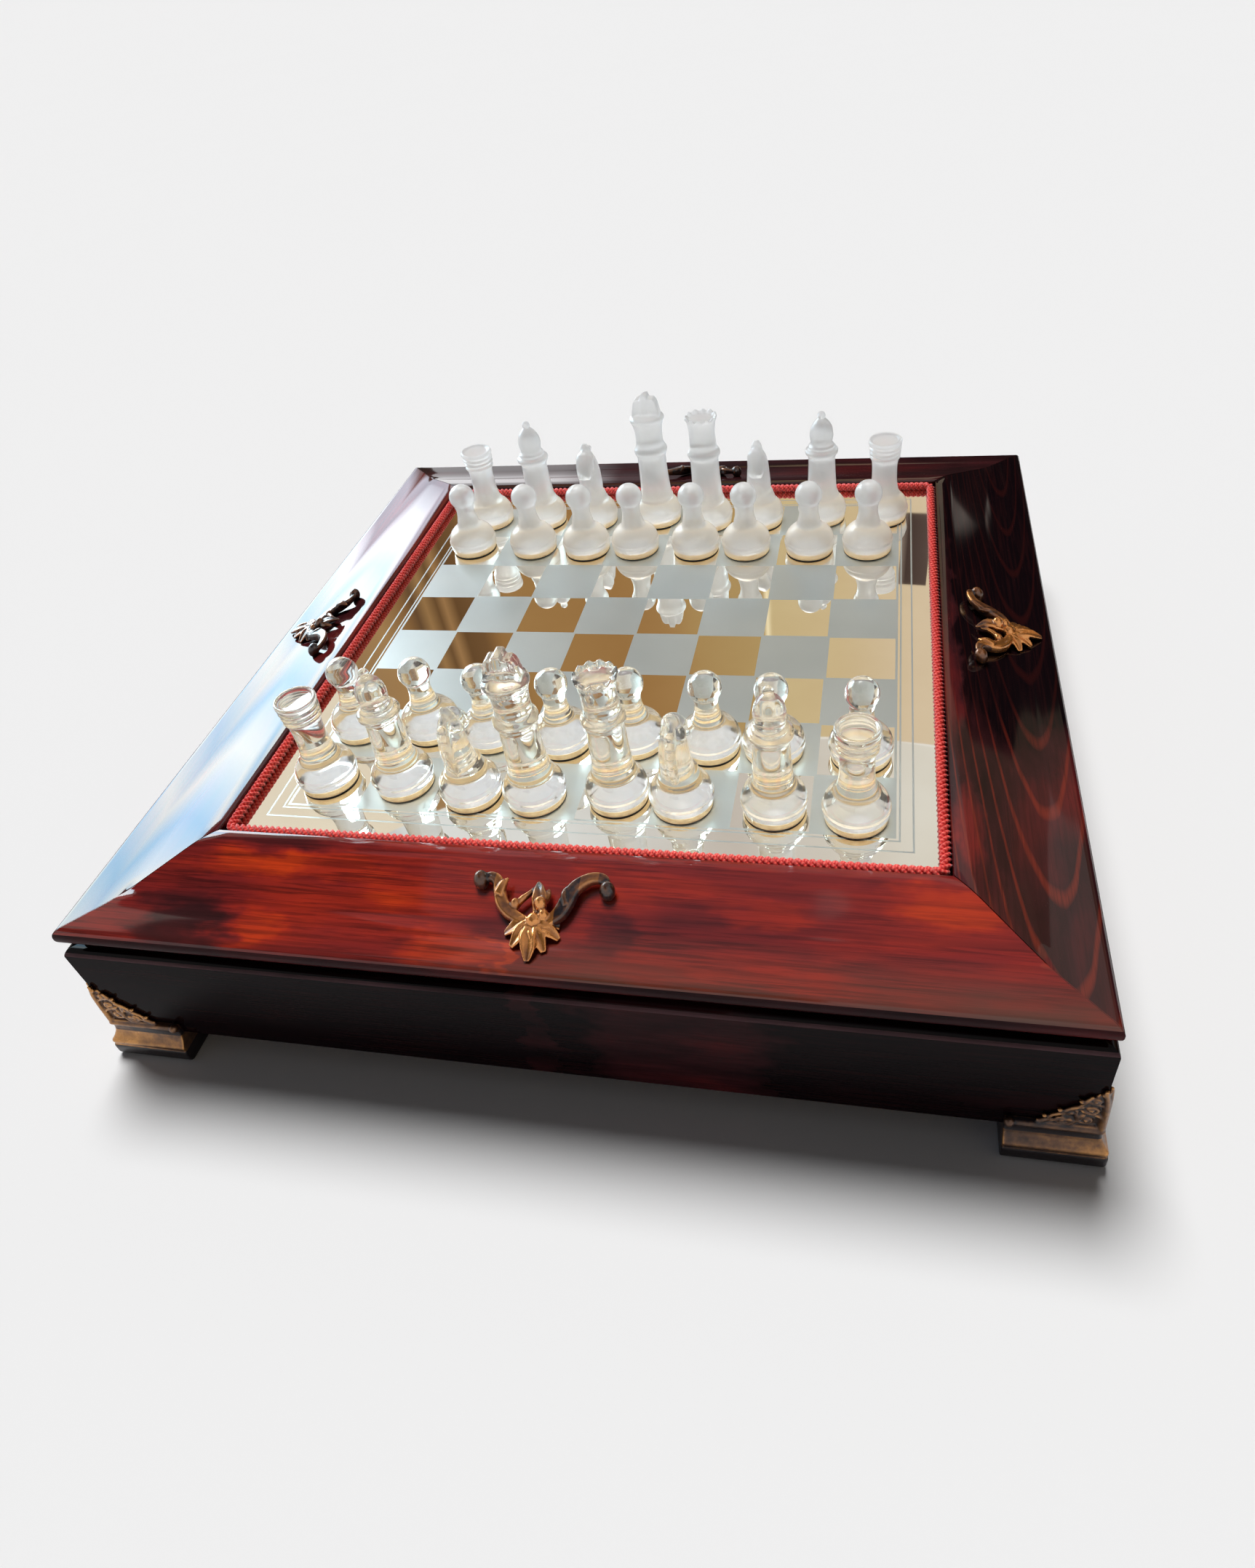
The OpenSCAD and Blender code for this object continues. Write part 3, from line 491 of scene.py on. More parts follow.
def rail_points():
    """The section of a rail, as in the part's source but rounder: x out from the middle, y up."""
    nose, ease, cove, flank, slope = 3.0, 20.0, 40.0, 18.3, 13.7
    crown = RAIL_IN + 1.75
    f = math.radians(flank)
    top = (crown + ease * math.sin(f), RAIL_EDGE - ease * (1 - math.cos(f)))
    low = (top[0] + slope, top[1] - slope * math.tan(f))
    lip = (low[0] + cove * math.sin(f), low[1] - cove * (1 - math.cos(f)))
    ring = [(LEDGE_IN, RAIL_UNDER), (RAIL_OUT - nose, RAIL_UNDER)]
    ring += arc(RAIL_OUT - nose, RAIL_UNDER + nose, nose, -90, 0, 10)[1:]
    ring += arc(RAIL_OUT - nose, LIP_TOP - nose, nose, 0, 90, 10)
    ring += [(lip[0] + 3, lip[1] - 0.2)]
    ring += arc(lip[0], lip[1] + cove, cove, -90, -90 - flank, 12)
    ring += arc(crown, RAIL_EDGE - ease, ease, 90 - flank, 90, 10)
    arris = (0.9, 0), (0.35, 0.12), (0.08, 0.45), (0, 1.0)
    ring += [(RAIL_IN + out, RAIL_EDGE - drop) for out, drop in arris]
    return ring + [(RAIL_IN, LEDGE_TOP), (LEDGE_IN, LEDGE_TOP)]


def rail_height(s):
    """Height of the rail's top at distance s from the middle of the board."""
    top = sorted(p for p in rail_points() if p[1] > LEDGE_TOP + 0.5 and p[0] > RAIL_IN + 0.5)
    for (a, za), (b, zb) in zip(top, top[1:]):
        if a <= s <= b:
            return za + (zb - za) * (s - a) / max(b - a, 1e-6)
    return top[0][1] if s < top[0][0] else top[-1][1]


def mitred(name, section, side, finish, edge=None, cuts=40, gap=0.22):
    """A moulding along one side with mitred ends, whose arrises are eased by gap. Its outer edge
    and underside may have a finish of their own."""
    middle = [sum(p[axis] for p in section) / len(section) for axis in (0, 1)]
    rows = []
    steps = [-1.0] + [-1 + 2 * i / cuts for i in range(cuts + 1)] + [1.0]
    for index, t in enumerate(steps):
        row = []
        for s, z in section:
            if index in (0, len(steps) - 1):
                inward = Vector((middle[0] - s, middle[1] - z)).normalized() * gap
                row.append((s * t, -(s + inward.x), z + inward.y))
            else:
                row.append((s * t - math.copysign(0.5, t) * (abs(t) > 0.999), -s, z))
        rows.append(row)
    points, faces = flat_ended(rows)
    if not edge:
        return piece(name, turned_side(points, side), faces, [finish])
    # faces below the lip take the edge finish, painted shade on the nose and underside
    kinds = [int(sum(points[i][2] for i in face) / len(face) < LIP_TOP - 1.2) for face in faces]
    return piece(name, turned_side(points, side), faces, [finish, edge], kinds)


def cut_out(body, tool):
    """Cuts the tool object out of the body object, exactly, and removes the tool."""
    cutter = body.modifiers.new("cut", "BOOLEAN")
    cutter.operation, cutter.object, cutter.solver = "DIFFERENCE", tool, "EXACT"
    apply(body)
    bpy.data.objects.remove(tool)
    return body


def apply(made):
    """Turns an object's modifiers into plain mesh."""
    finished = bpy.data.meshes.new_from_object(made.evaluated_get(bpy.context.evaluated_depsgraph_get()))
    drawn = made.data
    made.modifiers.clear()
    made.data = finished
    finished.name = made.name
    bpy.data.meshes.remove(drawn)
    return made


def bar(low, high):
    """A box as points and faces."""
    (a, b, c), (d, e, f) = low, high
    points = [(a, b, c), (d, b, c), (d, e, c), (a, e, c), (a, b, f), (d, b, f), (d, e, f), (a, e, f)]
    faces = [(3, 2, 1, 0), (4, 5, 6, 7), (0, 1, 5, 4), (1, 2, 6, 5), (2, 3, 7, 6), (3, 0, 4, 7)]
    return points, faces


def resharpen(made, crease):
    """Shades a cut or bevelled piece smooth again, but for edges sharper than crease degrees."""
    made.data.shade_smooth()
    made.data.set_sharp_from_angle(angle=math.radians(crease))


def eased(made, width, segments):
    """Rounds the arrises of a piece."""
    soft = made.modifiers.new("ease", "BEVEL")
    soft.width, soft.segments, soft.limit_method = width * MM, segments, "ANGLE"
    soft.angle_limit = math.radians(35)
    apply(made)
    resharpen(made, 32)
    return made


# ------------------------------------------------------------------- the frame

rails = rail_points()
for side, (end, finish) in enumerate((("front", pine_front), ("right", pine_right),
                                      ("back", pine_back), ("left", pine_left))):
    rail = mitred("rail_" + end, rails, side, finish, pine_edge_shade)
    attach(rail, "case")
    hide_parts("frame_rail_" + end)


# half width of the etched lines between squares, and from where to where the border lines run
SQUARE_LINE = 0.45
BORDER_LINES = ((109.25, 109.9), (113.6, 114.25))


def is_etched(x, y):
    """Whether a place on the glass is etched: every other square, the lines between, the border."""
    far = max(abs(x), abs(y))
    if far > 4 * SQUARE + SQUARE_LINE:
        return any(start < far < end for start, end in BORDER_LINES)
    if min(abs(c / SQUARE - round(c / SQUARE)) * SQUARE for c in (x, y)) < SQUARE_LINE:
        return True
    return (math.floor(x / SQUARE) + math.floor(y / SQUARE)) % 2 != 0


def glass_board():
    """The glass, its top ruled into mirror and etched squares with two etched border lines."""
    bevel, drop = 0.6, 0.5
    marks = {sign * at for lines in BORDER_LINES for at in lines for sign in (-1, 1)}
    marks |= {-GLASS_HALF, GLASS_HALF, -GLASS_HALF + bevel, GLASS_HALF - bevel}
    for i in range(-4, 5):
        marks |= {i * SQUARE - SQUARE_LINE, i * SQUARE + SQUARE_LINE}
    marks = sorted(marks)
    count = len(marks)
    points, faces, kinds = [], [], []
    for y in marks:
        for x in marks:
            points.append((x, y, GLASS_TOP - drop * (max(abs(x), abs(y)) == GLASS_HALF)))
    for j in range(count - 1):
        for i in range(count - 1):
            faces.append((j * count + i, j * count + i + 1, (j + 1) * count + i + 1, (j + 1) * count + i))
            kinds.append(int(is_etched((marks[i] + marks[i + 1]) / 2, (marks[j] + marks[j + 1]) / 2)))
    rim = list(range(count)) + [i * count + count - 1 for i in range(1, count)]
    rim += [(count - 1) * count + i for i in range(count - 2, -1, -1)]
    rim += [i * count for i in range(count - 2, 0, -1)]
    start = len(points)
    points += [(points[i][0], points[i][1], GLASS_TOP - GLASS_THICK) for i in rim]
    for n in range(len(rim)):
        m = (n + 1) % len(rim)
        faces.append((rim[n], start + n, start + m, rim[m]))
    faces.append(tuple(start + n for n in reversed(range(len(rim)))))
    kinds += [0] * (len(faces) - len(kinds))
    return piece("glass_board", points, faces, [mirror, etched], kinds, crease=20)


board = glass_board()
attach(board, "case")
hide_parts("mirror_board")


def twisted_cord():
    """Three strands swept round the glass while their section turns, one turn in 7 mm."""
    group = bpy.data.node_groups.new("twisted_cord", "GeometryNodeTree")
    group.interface.new_socket("Geometry", in_out="OUTPUT", socket_type="NodeSocketGeometry")
    sizes = {"Side": 0.2465, "Corner": 0.0026, "Height": 0.07388, "Strand": 0.00098, "Offset": 0.00098,
             "Step": 0.0006, "Turns": 140.0}
    ports = {}
    for key, value in sizes.items():
        socket = group.interface.new_socket(key, in_out="INPUT", socket_type="NodeSocketFloat")
        socket.default_value = value
        ports[key] = socket.identifier
    entry = group.nodes.new("NodeGroupInput").outputs
    node = partial(add, group)
    path = node("GeometryNodeCurvePrimitiveQuadrilateral", {"Width": entry["Side"], "Height": entry["Side"]})
    path = node("GeometryNodeFilletCurve", {"Curve": path, "Radius": entry["Corner"], "Count": 5},
                mode="POLY")
    path = node("GeometryNodeResampleCurve", {"Curve": path, "Length": entry["Step"]}, mode="LENGTH")
    lift = node("ShaderNodeCombineXYZ", {"Z": entry["Height"]})
    path = node("GeometryNodeSetPosition", {"Geometry": path, "Offset": lift})
    path = node("GeometryNodeSetCurveNormal", {"Curve": path}, mode="Z_UP")
    turn = node("ShaderNodeMath", entry["Turns"], 2 * math.pi, operation="MULTIPLY")
    factor = node("GeometryNodeSplineParameter", out="Factor")
    turn = node("ShaderNodeMath", factor, turn, operation="MULTIPLY")
    path = node("GeometryNodeSetCurveTilt", {"Curve": path, "Tilt": turn})
    run = node("GeometryNodeSplineParameter", out="Length")
    path = node("GeometryNodeStoreNamedAttribute", {"Geometry": path, "Name": "run", "Value": run},
                domain="POINT")
    strands = group.nodes.new("GeometryNodeJoinGeometry")
    for a in around(3):
        ring = node("GeometryNodeCurvePrimitiveCircle", {"Resolution": 10, "Radius": entry["Strand"]})
        part_way = node("GeometryNodeSplineParameter", out="Factor")
        ring = node("GeometryNodeStoreNamedAttribute", {"Geometry": ring, "Name": "turn", "Value": part_way},
                    domain="POINT")
        place = node("ShaderNodeVectorMath", (math.cos(a), math.sin(a), 0), {"Scale": entry["Offset"]},
                     operation="SCALE")
        ring = node("GeometryNodeSetPosition", {"Geometry": ring, "Offset": place})
        group.links.new(ring, strands.inputs[0])
    swept = node("GeometryNodeCurveToMesh", {"Curve": path, "Profile Curve": strands.outputs[0]})
    solid = node("GeometryNodeRealizeInstances", swept)
    red = node("GeometryNodeSetMaterial", {"Geometry": solid, "Material": cord_red})
    node("NodeGroupOutput", red)
    made = bpy.data.objects.new("cord", bpy.data.meshes.new("cord"))
    scene.collection.objects.link(made)
    tree_on = made.modifiers.new("cord", "NODES")
    tree_on.node_group = group
    for key, value in sizes.items():
        tree_on[ports[key]] = value
    apply(made)
    made.data.shade_smooth()
    return made


cord = twisted_cord()
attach(cord, "case")
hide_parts("cord_trim")


# -------------------------------------------------------------- cast ornaments

def spindle(points, radii, flat=1.0, sides=12, groove=0.0, up=(0, 0, 1)):
    """A closed rod through points with a radius at each; flat squeezes it in height and groove
    sinks a channel along its top."""
    points = [Vector(p) for p in points]
    rows = []
    for i, p in enumerate(points):
        ahead = (points[min(i + 1, len(points) - 1)] - points[max(i - 1, 0)]).normalized()
        side = Vector(up).cross(ahead).normalized()
        top = ahead.cross(side).normalized()
        row = []
        for a in around(sides):
            high = math.sin(a) * flat - groove * max(0.0, math.sin(a)) ** 4
            row.append(tuple(p + side * math.cos(a) * radii[i] + top * high * radii[i]))
        rows.append(row)
    return flat_ended(rows)


def curve_through(points, radii, steps=8):
    """A smooth line through the given points with its radii, as denser lists."""
    out, fat = [], []
    last = len(points) - 1
    for i in range(last):
        p0, p1 = Vector(points[max(i - 1, 0)]), Vector(points[i])
        p2, p3 = Vector(points[i + 1]), Vector(points[min(i + 2, last)])
        for n in range(steps):
            t = n / steps
            out.append(tuple(0.5 * ((2 * p1) + (p2 - p0) * t + (2 * p0 - 5 * p1 + 4 * p2 - p3) * t * t
                                    + (3 * p1 - p0 - 3 * p2 + p3) * t ** 3)))
            fat.append(radii[i] + (radii[i + 1] - radii[i]) * t)
    return out + [tuple(points[last])], fat + [radii[last]]


def ball(centre, r, flat=1.0, rings=10, sides=16):
    """A ball, flattened in height."""
    x, y, z = centre
    rows = []
    for i in range(1, rings):
        a = math.pi * i / rings
        wide, high = r * math.sin(a), z + r * math.cos(a) * flat
        rows.append([(x + wide * math.cos(b), y + wide * math.sin(b), high) for b in around(sides)])
    return pointed(rows, (x, y, z + r * flat), (x, y, z - r * flat))


def cast(name, parts, voxel, smooth, finish, gilding_and_shade=None):
    """Fuses overlapping parts into one casting and softens it as sand casting does. The given function tells
    from a place in millimetres how much gold to draw there: the gilt's wear, mixed with painted light and
    shade."""
    points, faces = joined(parts)
    mesh = bpy.data.meshes.new(name)
    mesh.from_pydata([tuple(c * MM for c in p) for p in points], [], faces)
    work = bmesh.new()
    work.from_mesh(mesh)
    bmesh.ops.recalc_face_normals(work, faces=work.faces)
    work.to_mesh(mesh)
    work.free()
    made = bpy.data.objects.new(name, mesh)
    scene.collection.objects.link(made)
    fuse = made.modifiers.new("fuse", "REMESH")
    fuse.mode, fuse.voxel_size = "VOXEL", voxel * MM
    if smooth:
        soften = made.modifiers.new("soften", "SMOOTH")
        soften.factor, soften.iterations = 0.5, smooth
    apply(made)
    made.data.materials.clear()
    made.data.materials.append(finish)
    made.data.shade_smooth()
    if gilding_and_shade:
        gold = made.data.attributes.new("gilding_and_shade", "FLOAT", "POINT")
        gold.data.foreach_set("value", [gilding_and_shade(*(v.co * PER_METRE)) for v in made.data.vertices])
    return made


def scroll_parts():
    """A six-lobed leaf with two scrolled arms, flat on the plane z = 0, pointing to -Y."""
    parts = []

    def rod(points, radii, **more):
        """An arm or leaflet along a smooth line."""
        line, fat = curve_through(points, radii)
        parts.append(spindle(line, fat, **more))

    # left arm: ball, over the top, down and into the leaf, with a hooked leaflet on its shoulder
    parts.append(ball((-20.9, -139.4, 2.0), 2.6))
    rod([(-20.2, -138.8, 2.2), (-17.1, -138.7, 2.6), (-14.7, -140.2, 2.6), (-13.4, -143.3, 2.4),
         (-12.0, -146.4, 2.2), (-9.2, -149.0, 2.0), (-5.6, -150.8, 2.0), (-2.5, -151.6, 2.0)],
        [1.1, 1.5, 1.9, 2.2, 2.2, 2.1, 1.8, 1.4], sides=16, groove=0.42)
    rod([(-13.4, -144.6, 2.8), (-12.5, -141.6, 3.3), (-11.6, -138.6, 2.6)], [1.9, 1.4, 0.3], groove=0.3)
    # right arm: a long wave up to its ball
    rod([(4.0, -151.4, 2.0), (7.4, -148.4, 2.3), (9.2, -144.7, 2.6), (10.9, -141.0, 2.8), (13.9, -138.2, 2.8),
         (17.2, -137.0, 2.8), (20.0, -137.2, 2.5), (21.2, -139.0, 2.1)],
        [1.6, 2.3, 2.5, 2.2, 1.8, 1.6, 1.5, 1.2], sides=16, groove=0.42)
    parts.append(ball((21.3, -140.2, 2.0), 2.6))
    rod([(9.4, -146.6, 3.2), (8.2, -143.8, 3.6), (8.6, -141.2, 3.0), (9.6, -139.6, 2.2)],
        [1.2, 1.1, 0.8, 0.3])
    # tendril with a bud, upper leaf with two berries
    parts.append(ball((-7.4, -146.8, 2.7), 1.6))
    rod([(-7.4, -147.4, 2.5), (-5.4, -145.2, 2.8), (-3.4, -142.9, 2.5), (-2.5, -140.3, 1.8)],
        [1.0, 1.0, 0.8, 0.3])
    rod([(0.9, -148.4, 2.6), (0.3, -144.9, 3.2), (-0.6, -141.6, 2.9), (-1.9, -138.2, 1.6)],
        [2.2, 2.7, 1.8, 0.25], flat=0.7, groove=0.5)
    rod([(1.4, -146.4, 3.0), (2.4, -143.2, 2.6), (2.3, -140.6, 1.7)], [1.5, 1.4, 0.3], flat=0.7)
    parts.append(ball((1.2, -147.0, 3.7), 2.1))
    parts.append(ball((2.7, -149.9, 3.0), 1.7))
    parts.append(ball((-0.4, -151.4, 2.2), 2.6, 0.8))
    # the leaf: each lobe is a flat spindle with a sunk vein, arched and drooping to its tip
    for x, y, width in ((-9.6, -155.2, 2.0), (-6.2, -159.8, 2.1), (0.3, -164.2, 2.6), (4.8, -160.6, 2.2),
                        (8.6, -155.6, 2.1), (7.9, -151.6, 1.6)):
        base, tip = Vector((-0.6, -151.6, 2.6)), Vector((x, y, 0.7))
        side = Vector((tip.y - base.y, base.x - tip.x, 0)).normalized() * 0.5
        rise = Vector((0, 0, 0.9))
        rod([base, base.lerp(tip, 0.4) + side + rise, base.lerp(tip, 0.72) + rise * 0.8, tip],
            [1.3, width, width * 0.95, 0.8], flat=0.5, groove=0.5, sides=16)
    return parts


def mount_gilding_and_shade(x, y, z):
    """Gold on the leaf, less on the left arm, and hardly any on the balls. The right arm is drawn dark near
    the leaf, partly as painted shade on its shaded side, and the lowest edge of the casting is dark as a
    painted shadow outline.
    """
    gold = 1.15 - math.hypot(x - 0.5, y + 154) / 12
    if -15.5 < x < -4 and y > -151.5:
        gold = max(gold, 0.42)
    # partly painted shade: the right arm is drawn dark near the leaf, lighter towards its end
    if x > 6 and y > -152:
        gold = -0.1 + 0.4 * (x > 12.5)
    # painted shadow: the casting's lowest edge is drawn dark as a shadow outline; the balls are dark metal
    if z < 0.7 or abs(x) > 18.3:
        gold = -0.1
    return max(0.02, min(gold, 0.75))


def scroll_mount(name, side, along, kept):
    """One mount, with shares that scale the gold on its leaf and add gold to its arms. They differ by side as
    painted light and shade: more on the right mount, where light falls, less on the back and left mounts,
    which stand dark against the light.
    """
    leaf, arms = kept
    made = cast(name, scroll_parts(), 0.3, 1, brass, lambda x, y, z: mount_gilding_and_shade(x, y, z) * leaf + arms)
    quarter = Matrix.Rotation(math.radians(90 * side), 3, "Z")
    for vert in made.data.vertices:
        x, y, z = (c * PER_METRE for c in vert.co)
        vert.co = quarter @ Vector((x + along, y, rail_height(-y) + max(z * 1.25, -0.35))) * MM
    return made


# the shares by side are painted light on the right mount and painted shade on the back and left ones
mounts = [scroll_mount("scroll_mount_" + end, side, along, kept) for side, (end, along, kept) in enumerate((
    ("front", -1, (1.0, 0.05)), ("right", 6, (1.2, 0.2)), ("back", -5, (0.3, 0.0)),
    ("left", -2, (0.25, 0.0))))]
for made in mounts:
    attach(made, "case")
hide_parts("scroll_mounts")


# -------------------------------------------------------------------- the base

def wall_points():
    """The section of a base wall, round-shouldered, with the groove that holds the floor."""
    ring = [(WALL_IN, BASE_UNDER), (WALL_OUT - 0.5, BASE_UNDER), (WALL_OUT, BASE_UNDER + 0.5)]
    ring += arc(WALL_OUT - 3, BASE_TOP - 3, 3, 0, 90, 10)
    groove = (0, 18.0), (6, 18.0), (6, 14.0), (0, 14.0)
    return ring + [(WALL_IN, BASE_TOP)] + [(WALL_IN + deep, z) for deep, z in groove]


for side, (end, finish) in enumerate((("front", pine_base_shade), ("right", pine_ends),
                                      ("back", pine_base_shade), ("left", pine_ends))):
    wall = mitred("wall_" + end, wall_points(), side, finish, cuts=2, gap=0.15)
    if side in (1, 3):
        low, high = sorted(((2 - side) * 150.0, (2 - side) * 180.0))
        points, faces = bar((low, -WINDOW_HALF, WINDOW_LOW), (high, WINDOW_HALF, WINDOW_TOP))
        cut_out(wall, piece("window", points, faces, []))
        wall.data.set_sharp_from_angle(angle=math.radians(32))
    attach(wall, "case")
    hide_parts("base_wall_" + end)


def foot_block():
    """The flared block of one foot, at the front right corner."""
    flare = [(2.9, 0.0), (3.9, 0.5), (4.5, 1.4), (4.6, 2.2), (4.6, 5.6), (4.3, 6.4), (4.05, 6.9), (4.25, 7.4),
             (4.4, 8.0), (4.2, 8.7), (3.5, 9.6), (2.8, 10.8), (2.2, 12.2), (1.8, 13.8), (1.65, 15.6),
             (1.95, 16.1), (2.25, 16.7), (2.3, 17.2), (2.1, 17.8), (1.6, 18.2)]
    inner, round_r = WALL_OUT - FOOT_LENGTH, 1.1
    rows = []
    for proud, z in flare:
        out = WALL_OUT + proud
        corner = [(x, -y, z) for x, y in reversed(arc(out - round_r, out - round_r, round_r, 0, 90, 4))]
        rows.append([(inner, -out, z)] + corner + [(out, -inner, z), (inner, -inner, z)])
    return flat_ended(rows)


def scrollwork():
    """Pierced scrolls for one face, drawn with x running in from the corner, y up, z out of the wall."""
    parts = []

    def rod(points, radii, **more):
        """A stem along a smooth line in the web's plane."""
        line, fat = curve_through([(x, y, 0.75) for x, y in points], radii, 6)
        parts.append(spindle(line, fat, **more))

    def scroll(cx, cy, r, start, sweep, fat, tail):
        """A spiral round a berry that runs out into a tail."""
        line = []
        for i in range(13):
            a = math.radians(start + sweep * i / 12)
            reach = r * (0.28 + 0.72 * i / 12)
            line.append((cx + reach * math.cos(a), cy + reach * math.sin(a)))
        line += tail
        rod(line, [fat * (0.8 + 0.4 * i / len(line)) for i in range(len(line))], sides=8)
        parts.append(ball((cx, cy, 1.0), fat * 1.35, 0.9, 6, 10))

    # a thin web behind, a stem up the corner, a rail along the block, scrolls between them
    web = [(-0.9, 17.6), (17.0, 17.8), (14.6, 20.6), (11.2, 24.6), (8.0, 29.6), (5.2, 34.4), (2.4, 39.6),
           (-0.6, 41.6)]
    parts.append(flat_ended([[(x, y, z) for x, y in web] for z in (-0.6, 0.45)]))
    rod([(-0.8, 17.5), (-0.9, 24), (-0.6, 31), (0.0, 37), (0.9, 41.4), (0.4, 43)],
        [1.5, 1.2, 1.1, 1.0, 0.8, 0.4])
    rod([(-1, 18.6), (5, 18.5), (12, 18.6), (19, 18.4)], [1.1, 0.9, 0.9, 0.7])
    scroll(4.6, 23.4, 3.0, 30, 400, 0.75, [(8.4, 20.2), (11.5, 18.8)])
    scroll(11.6, 21.8, 2.4, 200, -390, 0.65, [(15.6, 20.4), (18.4, 18.8)])
    scroll(3.8, 30.2, 2.7, -60, 390, 0.7, [(1.0, 26.4), (-0.6, 24.4)])
    scroll(9.4, 27.2, 1.9, 120, 380, 0.55, [(7.6, 25.0), (6.4, 24.2)])
    scroll(3.2, 36.2, 2.0, -40, 380, 0.6, [(0.8, 33.4), (-0.4, 32.0)])
    rod([(6.0, 31.4), (8.2, 30.6), (10.6, 28.4), (12.4, 25.6), (14.8, 23.6), (16.2, 20.6), (19.2, 19.2)],
        [0.5, 0.75, 0.6, 0.75, 0.6, 0.7, 0.4])
    rod([(4.2, 38.6), (5.4, 36.0), (6.6, 33.2), (7.4, 31.0)], [0.4, 0.7, 0.6, 0.5])
    for x, y, r in ((7.3, 34.9, 0.9), (12.9, 27.9, 0.9), (17.0, 22.9, 0.9), (1.4, 40.2, 0.8)):
        parts.append(ball((x, y, 0.8), r, 0.9, 6, 10))
    return parts


def foot_gilding_and_shade(x, y, z):
    """Black along the floor, painted shade under the foot; gold up the flare, partly painted light where it
    faces up;
    brown in the hollow and on the scrolls, partly painted shade; and less away from the corner, painted shade
    where the ends lie in the dark."""
    # the bands and the fall-off away from the corner are partly painted light and shade
    bands = (6.3, -0.2), (13.4, 0.58), (15.8, 0.1), (18.6, 0.38)
    gold = next((gold for top, gold in bands if z < top), 0.42)
    return gold - 0.012 * max(0.0, 348 - abs(x) - abs(y))


def corner_foot(name, side, kept):
    """One foot, with how much more gold it is drawn with than the others."""
    w, root, narrow, low = WALL_OUT, 17.5, 0.92, 0.84
    parts = [foot_block()]
    for verts, faces in scrollwork():
        verts = [(x * narrow, root + (y - root) * low, z) for x, y, z in verts]
        parts.append(([(w - x, -(w + z), y) for x, y, z in verts], faces))
        parts.append(([(w + z, -(w - x), y) for x, y, z in verts], faces))
    for x, y in ((w - 25.3, -(w + 1.7)), (w + 1.7, -(w - 25.3))):
        parts.append(ball((x, y, 17.6), 1.6))
    made = cast(name, parts, 0.36, 1, feet_brass, lambda x, y, z: foot_gilding_and_shade(x, y, z) + kept)
    points, faces = bar((100, -w, BASE_UNDER), (w, -100, 90))
    cut_out(made, piece("notch", points, faces, []))
    resharpen(made, 50)
    made.data.transform(Matrix.Rotation(math.radians(90 * side), 4, "Z"))
    return made


feet = [corner_foot("corner_foot_" + end, side, kept) for side, (end, kept) in enumerate((
    ("front_right", 0.0), ("back_right", 0.0), ("back_left", 0.1), ("front_left", 0.22)))]
for made in feet:
    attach(made, "case")
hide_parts("corner_feet")


# --------------------------------------------------------------------- drawers

# the plate of a pull from its middle out: radius, and how far it stands proud of the drawer
PLATE = [(0.0, 0.0), (9.5, 0.0), (9.5, 0.4), (9.3, 0.9), (8.9, 1.3), (8.4, 1.55), (7.9, 1.4), (7.5, 1.05),
         (7.0, 0.95), (3.0, 1.25), (1.2, 1.4), (0.0, 1.45)]
# the eye that the ring hangs in: places across it, and radius
EYE = [(-1.2, 1.45), (-0.9, 1.35), (0.9, 1.35), (1.2, 1.45), (1.2, 2.2), (0.9, 2.45), (-0.9, 2.45),
       (-1.2, 2.2)]


def pull_plate():
    """A domed plate with a rim bead, and the eye on its post."""
    rows = [[(WALL_OUT + out, r * math.cos(a), PLATE_HIGH + r * math.sin(a)) for a in around(64)]
            for r, out in PLATE[1:-1]]
    dome = pointed(rows, (WALL_OUT, 0, PLATE_HIGH), (WALL_OUT + PLATE[-1][1], 0, PLATE_HIGH))
    rows = []
    for a in around(40):
        rows.append([(WALL_OUT + 3.35 + r * math.cos(a) - 0.25 * (r > 2), y, EYE_HIGH + r * math.sin(a))
                     for y, r in EYE])
    eye = [p for row in rows for p in row], skin_of(len(rows), len(EYE), closed=True)
    post = bar((WALL_OUT + 0.6, -1.1, EYE_HIGH - 1.8), (WALL_OUT + 1.9, 1.1, EYE_HIGH + 1.8))
    return joined([dome, eye, post])


def pull_hoop():
    """The ring of a pull, of round wire."""
    points = []
    for a in around(96):
        for b in around(16):
            r = HOOP_RADIUS + WIRE_RADIUS * math.cos(b)
            points.append((WALL_OUT + HOOP_OUT + WIRE_RADIUS * math.sin(b), r * math.cos(a),
                           HOOP_HIGH + r * math.sin(a)))
    return points, skin_of(96, 16, closed=True)


def at_end(hand, name, shape, finish, crease=32.0):
    """A piece on the left end of the box, hand -1, or the right, 1, from a shape drawn for the right."""
    points, faces = shape
    return piece(name, [(x * hand, y, z) for x, y, z in points], faces, [finish], crease=crease)


for hand, end in ((-1, "left"), (1, "right")):
    body = end + "_drawer"
    board = bar((WALL_IN, -WINDOW_HALF + DRAWER_GAP, WINDOW_LOW + DRAWER_GAP),
                (WALL_OUT, WINDOW_HALF - DRAWER_GAP, WINDOW_TOP - DRAWER_GAP))
    front = eased(at_end(hand, end + "_front", board, pine_drawers), 0.8, 3)
    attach(front, body)
    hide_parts(body + "_front")

    plate = at_end(hand, end + "_pull_back", pull_plate(), pull_brass, crease=40)
    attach(plate, body)
    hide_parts(end + "_pull_plate")

    hoop = at_end(hand, end + "_pull_hoop", pull_hoop(), pull_brass)
    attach(hoop, end + "_ring")
    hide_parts(end + "_pull_ring")


# -------------------------------------------------------------------- chessmen

FILES = "abcdefgh"
# the height at which the points of the queen's crown begin
CROWN_LOW = 53.2
MEN = ["rook", "bishop", "knight", "king", "queen", "knight", "bishop", "rook"]
